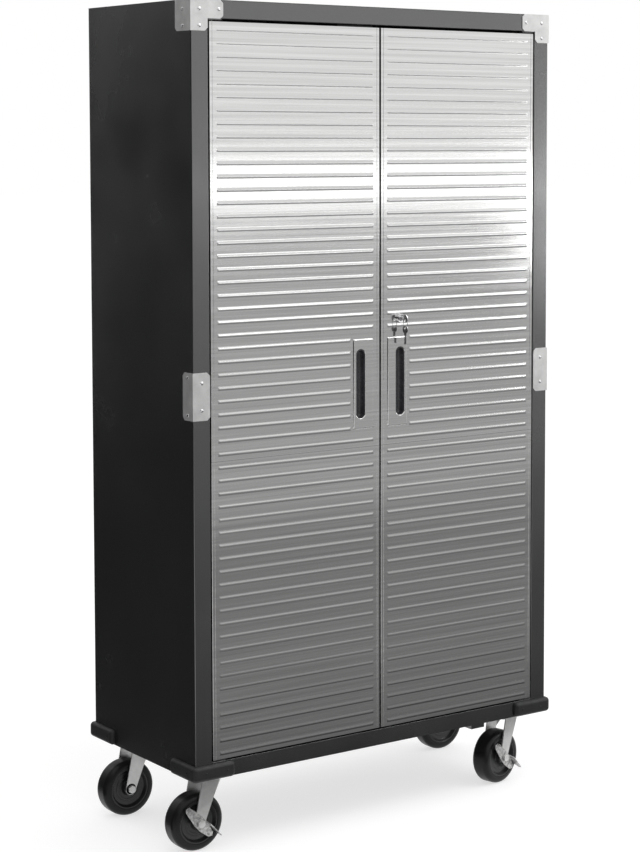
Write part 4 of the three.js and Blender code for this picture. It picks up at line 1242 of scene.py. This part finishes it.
class CABINET_OT_casters(bpy.types.Operator):
    """Casters: top plate, fork, wheel, axle and brake lever"""

    bl_idname = "cabinet.casters"
    bl_label = "Casters"

    def execute(self, context):
        sizes = context.scene.cabinet_fittings
        paints = finishes(context)
        zinc = paints["bright zinc"]
        plates, wheels, extras = mounting_plate(), wheel_shape(sizes, paints), fork_extras()
        axles = {False: axle_bolt(0), True: axle_bolt(LEVER_ROOM)}
        for name, place, turn, braked in caster_places():
            body = f"caster_fork_{name}"
            plate = place_copy(plates, place)
            finish(plate, f"mount_{name}", "cabinet", "zinc_steel", zinc, f"caster_plate_{name}")
            fork = smooth(join(copy_node(body, FORK_EDGE), place_copy(extras, place, turn)))
            finish(fork, f"fork_{name}", body, "zinc_steel", zinc, body)
            hub = Vector(place) + Matrix.Rotation(turn, 3, "Z") @ HUB
            node = f"caster_wheel_{name}"
            finish(place_copy(wheels, hub, turn), f"wheel_{name}", node, "wheel_rubber", None, node)
            axle = place_copy(axles[braked], hub, turn)
            finish(axle, f"axle_{name}", body, "zinc_steel", zinc, f"caster_axle_{name}")
            if braked:
                node = f"brake_lever_{name}"
                lever = brake_lever(sizes, node, hub, turn)
                finish(lever, f"brake_pedal_{name}", node, "zinc_steel", paints["worn zinc"], node)
        discard(plates, wheels, extras, *axles.values())
        return {"FINISHED"}


# Inside the cabinet

# What a node's name holds, then the piece's first word, slot, finish, broken edge and its steps
INSIDE = (
    ("shelf_", "tray", "shelf_paint", "grey powder coat", 0.4, 2),
    ("upright_", "slotted", "zinc_steel", "bright zinc", 0.2, 1),
    ("_pivot_", "hinge", "black_paint", "black powder coat", 0.2, 2),
)


class CABINET_OT_inside(bpy.types.Operator):
    """Shelves, slotted uprights, pivots and the magnetic catch"""

    bl_idname = "cabinet.inside"
    bl_label = "Inside"

    def execute(self, context):
        paints = finishes(context)
        for node in sorted(frame["nodes"]):
            for word, prefix, slot, paint, edge, segments in INSIDE:
                if word in node:
                    name = f"{prefix}_{node}"
                    finish_node(node, name, "cabinet", slot, paints[paint], edge, segments)
        plastic = paints["black plastic"]
        finish_node("magnetic_catch", "door_catch", "cabinet", "cup_plastic", plastic, 1.2, 3)
        return {"FINISHED"}


# Studio

SENSOR_WIDTH = 36
VIEW_END = 200
FLOOR_SIZE = 95
FLOOR_COLOUR = (0.5, 0.5, 0.5, 1)
FLOOR_GLOW = 0.62
WHITE = (1, 1, 1, 1)

# Place, target, width and height of each lamp in metres, and the setting that holds its power
LAMPS = {
    "key box": ((2.6, -2.4, 4.3), (0, -0.2, 1.2), 2.4, 1.2, "key_power"),
    "side strip": ((4.2, -3.2, 1.2), (0.6, 0, 1.2), 2.0, 0.4, "side_power"),
    "top box": ((-0.5, -1.0, 4.2), (0, 0, 0.9), 3.0, 3.0, "fill_power"),
    "strip box": ((2.1, -3.2, 1.365), (2.1, 0, 1.365), 2.2, 0.13, "strip_power"),
}

# Each card glows at its brightness and only reflections see it: painted reflections of darker surroundings,
# and in front of the cabinet painted shade
# Two corners of each card in metres, its brightness, and the stretch of Y in which it fades in
PAINTED_REFLECTION_CARDS = {
    "far floor card": ((-2, -47, 0.002), (40, -3, 0.002), 0.46, (-45, -14)),
    # The front floor card paints a darker floor into reflections, partly the cabinet's shade on it; the
    # near floor and rail cards are painted shadow of the cabinet on the floor, darkest at the rail, seen
    # only in reflections
    "front floor card": ((-0.4, -4.1, 0.004), (6, -0.34, 0.004), 0.24, (-3.95, -3.35)),
    "near floor card": ((-1.4, -1.5, 0.006), (6, -0.34, 0.006), 0.15, (-1.5, -0.5)),
    "rail card": ((-1.4, -0.74, 0.008), (6, -0.34, 0.008), 0.07),
    "left card": ((-5, -40, 0), (-5, -0.2, 5), 0.035),
    "rear card": ((-3.4, -0.2, 0), (-3.4, 9, 2.2), 0.04),
    "rear high card": ((-3.4, -0.2, 2.2), (-3.4, 9, 6), 0.3),
    "rear floor card": ((-3.4, -0.2, 0.004), (-0.6, 9, 0.004), 0.04),
}


def card(name, low, high, level, fade=None):
    """A flat card between two corners that glows grey and that only reflections see: a painted reflection.
    It can fade in along Y.
    """
    low, high = Vector(low), Vector(high)
    size = high - low
    deselect_all()
    bpy.ops.mesh.primitive_plane_add(size=1, location=(low + high) / 2)
    piece = bpy.context.active_object
    piece.name = name
    if size.z > NEAR:
        piece.rotation_euler = (0, math.pi / 2, 0)
        piece.scale = (size.z, size.y, 1)
    else:
        piece.scale = (size.x, size.y, 1)
    settle(piece)
    for ray in ("camera", "diffuse", "transmission", "volume_scatter", "shadow"):
        setattr(piece, f"visible_{ray}", False)
    surface = Finish(name)
    # The card's grey is emitted light, not lit by the lamps: a painted reflection
    shader = surface.add("ShaderNodeEmission", {"Color": (level, level, level, 1)}).outputs["Emission"]
    if fade:
        place = surface.add("ShaderNodeTexCoord").outputs["Object"]
        along = surface.add("ShaderNodeSeparateXYZ", {"Vector": place}).outputs["Y"]
        ramp = surface.add("ShaderNodeMapRange", {"Value": along, "From Min": fade[0], "From Max": fade[1]})
        clear = surface.add("ShaderNodeBsdfTransparent").outputs["BSDF"]
        mix = surface.add("ShaderNodeMixShader", {0: ramp.outputs["Result"], 1: clear, 2: shader})
        shader = mix.outputs["Shader"]
    surface.show(shader)
    piece.data.materials.append(surface.material)


def lamp(name, place, target, width, height, watts):
    """A soft box aimed at a point."""
    light = bpy.data.lights.new(name, "AREA")
    light.shape = "RECTANGLE"
    light.size, light.size_y, light.energy = width, height, watts
    holder = bpy.data.objects.new(name, light)
    bpy.context.scene.collection.objects.link(holder)
    holder.location = place
    holder.rotation_euler = (Vector(target) - Vector(place)).to_track_quat("-Z", "Y").to_euler()
    holder.visible_camera = False


def seen_rays(nodes):
    """One for the rays of the camera and of reflections, nought for the others."""
    rays = nodes.add("ShaderNodeLightPath").outputs
    seen = rays["Is Camera Ray"]
    for name in ("Is Glossy Ray", "Is Transmission Ray"):
        either = nodes.add("ShaderNodeMath", {0: seen, 1: rays[name]}, operation="MAXIMUM")
        seen = either.outputs["Value"]
    return seen


def pale_floor():
    """The floor: pale, a little brighter as seen and mirrored, and it keeps the shadow."""
    deselect_all()
    bpy.ops.mesh.primitive_plane_add(size=FLOOR_SIZE)
    floor = bpy.context.active_object
    floor.name = "floor"
    surface = Finish("pale floor")
    matt = surface.add("ShaderNodeBsdfDiffuse", {"Color": FLOOR_COLOUR})
    level = surface.add("ShaderNodeMath", {0: seen_rays(surface), 1: FLOOR_GLOW}, operation="MULTIPLY")
    glow = surface.add("ShaderNodeEmission", {"Strength": level.outputs["Value"]})
    both = surface.add("ShaderNodeAddShader", {0: matt.outputs["BSDF"], 1: glow.outputs["Emission"]})
    surface.show(both.outputs["Shader"])
    floor.data.materials.append(surface.material)


def white_world(ambient):
    """White behind the object and in reflections, and a plain soft light on it."""
    world = bpy.data.worlds.new("studio")
    bpy.context.scene.world = world
    world.use_nodes = True
    nodes = Nodes(world.node_tree)
    level = nodes.add("ShaderNodeMapRange", {"Value": seen_rays(nodes), "To Min": ambient})
    background = world.node_tree.nodes["Background"]
    nodes.wire(background, {"Color": WHITE, "Strength": level.outputs["Result"]})


class CABINET_OT_stage(bpy.types.Operator):
    """Camera, floor, soft light and the glowing cards that paint darker surroundings and shade into
    reflections
    """

    bl_idname = "cabinet.stage"
    bl_label = "Stage"

    def execute(self, context):
        wanted = context.scene.cabinet_stage
        data = bpy.data.cameras.new("camera")
        data.lens, data.sensor_width = wanted.lens, SENSOR_WIDTH
        data.shift_x, data.shift_y = wanted.shift_x, wanted.shift_y
        data.clip_end = VIEW_END
        camera = bpy.data.objects.new("camera", data)
        context.scene.collection.objects.link(camera)
        camera.matrix_world = (
            Matrix.Translation(wanted.camera)
            @ Matrix.Rotation(-wanted.yaw, 4, "Z")
            @ Matrix.Rotation(math.pi / 2 - wanted.pitch, 4, "X")
            @ Matrix.Rotation(wanted.roll, 4, "Z")
        )
        context.scene.camera = camera
        white_world(wanted.ambient)
        pale_floor()
        for name, (*values, setting) in LAMPS.items():
            lamp(name, *values, getattr(wanted, setting))
        for name, values in PAINTED_REFLECTION_CARDS.items():
            card(name, *values)
        context.scene.view_settings.view_transform = "Standard"
        return {"FINISHED"}


# Sidebar and start

class CABINET_PT_sidebar(bpy.types.Panel):
    """Lists the cabinet's sizes, finishes and pieces"""

    bl_idname = "CABINET_PT_sidebar"
    bl_label = "Storage Cabinet"
    bl_space_type = "VIEW_3D"
    bl_region_type = "UI"
    bl_category = "Cabinet"

    def draw(self, context):
        for operator in OPERATORS:
            self.layout.operator(operator.bl_idname)
        for group in SETTINGS:
            box = self.layout.box()
            for name in getattr(context.scene, group).bl_rna.properties.keys():
                if name not in ("rna_type", "name"):
                    box.prop(getattr(context.scene, group), name)


SETTINGS = {
    "cabinet_doors": CabinetDoorSizes,
    "cabinet_fittings": CabinetFittingSizes,
    "cabinet_finishes": CabinetFinishes,
    "cabinet_stage": CabinetStage,
}
OPERATORS = (
    CABINET_OT_body,
    CABINET_OT_doors,
    CABINET_OT_handles,
    CABINET_OT_lock,
    CABINET_OT_brackets,
    CABINET_OT_bumpers,
    CABINET_OT_casters,
    CABINET_OT_inside,
    CABINET_OT_stage,
)


def register():
    """Registers the settings, the operators and the panel."""
    for cls in (*SETTINGS.values(), *OPERATORS, CABINET_PT_sidebar):
        bpy.utils.register_class(cls)
    for name, group in SETTINGS.items():
        setattr(bpy.types.Scene, name, PointerProperty(type=group))


def unregister():
    """Takes them away again."""
    for name in SETTINGS:
        delattr(bpy.types.Scene, name)
    for cls in (*SETTINGS.values(), *OPERATORS, CABINET_PT_sidebar):
        bpy.utils.unregister_class(cls)


def main():
    """Makes every piece and the stage."""
    register()
    bpy.ops.cabinet.body()
    bpy.ops.cabinet.doors()
    bpy.ops.cabinet.handles()
    bpy.ops.cabinet.lock()
    bpy.ops.cabinet.brackets()
    bpy.ops.cabinet.bumpers()
    bpy.ops.cabinet.casters()
    bpy.ops.cabinet.inside()
    bpy.ops.cabinet.stage()


if __name__ == "__main__":
    main()
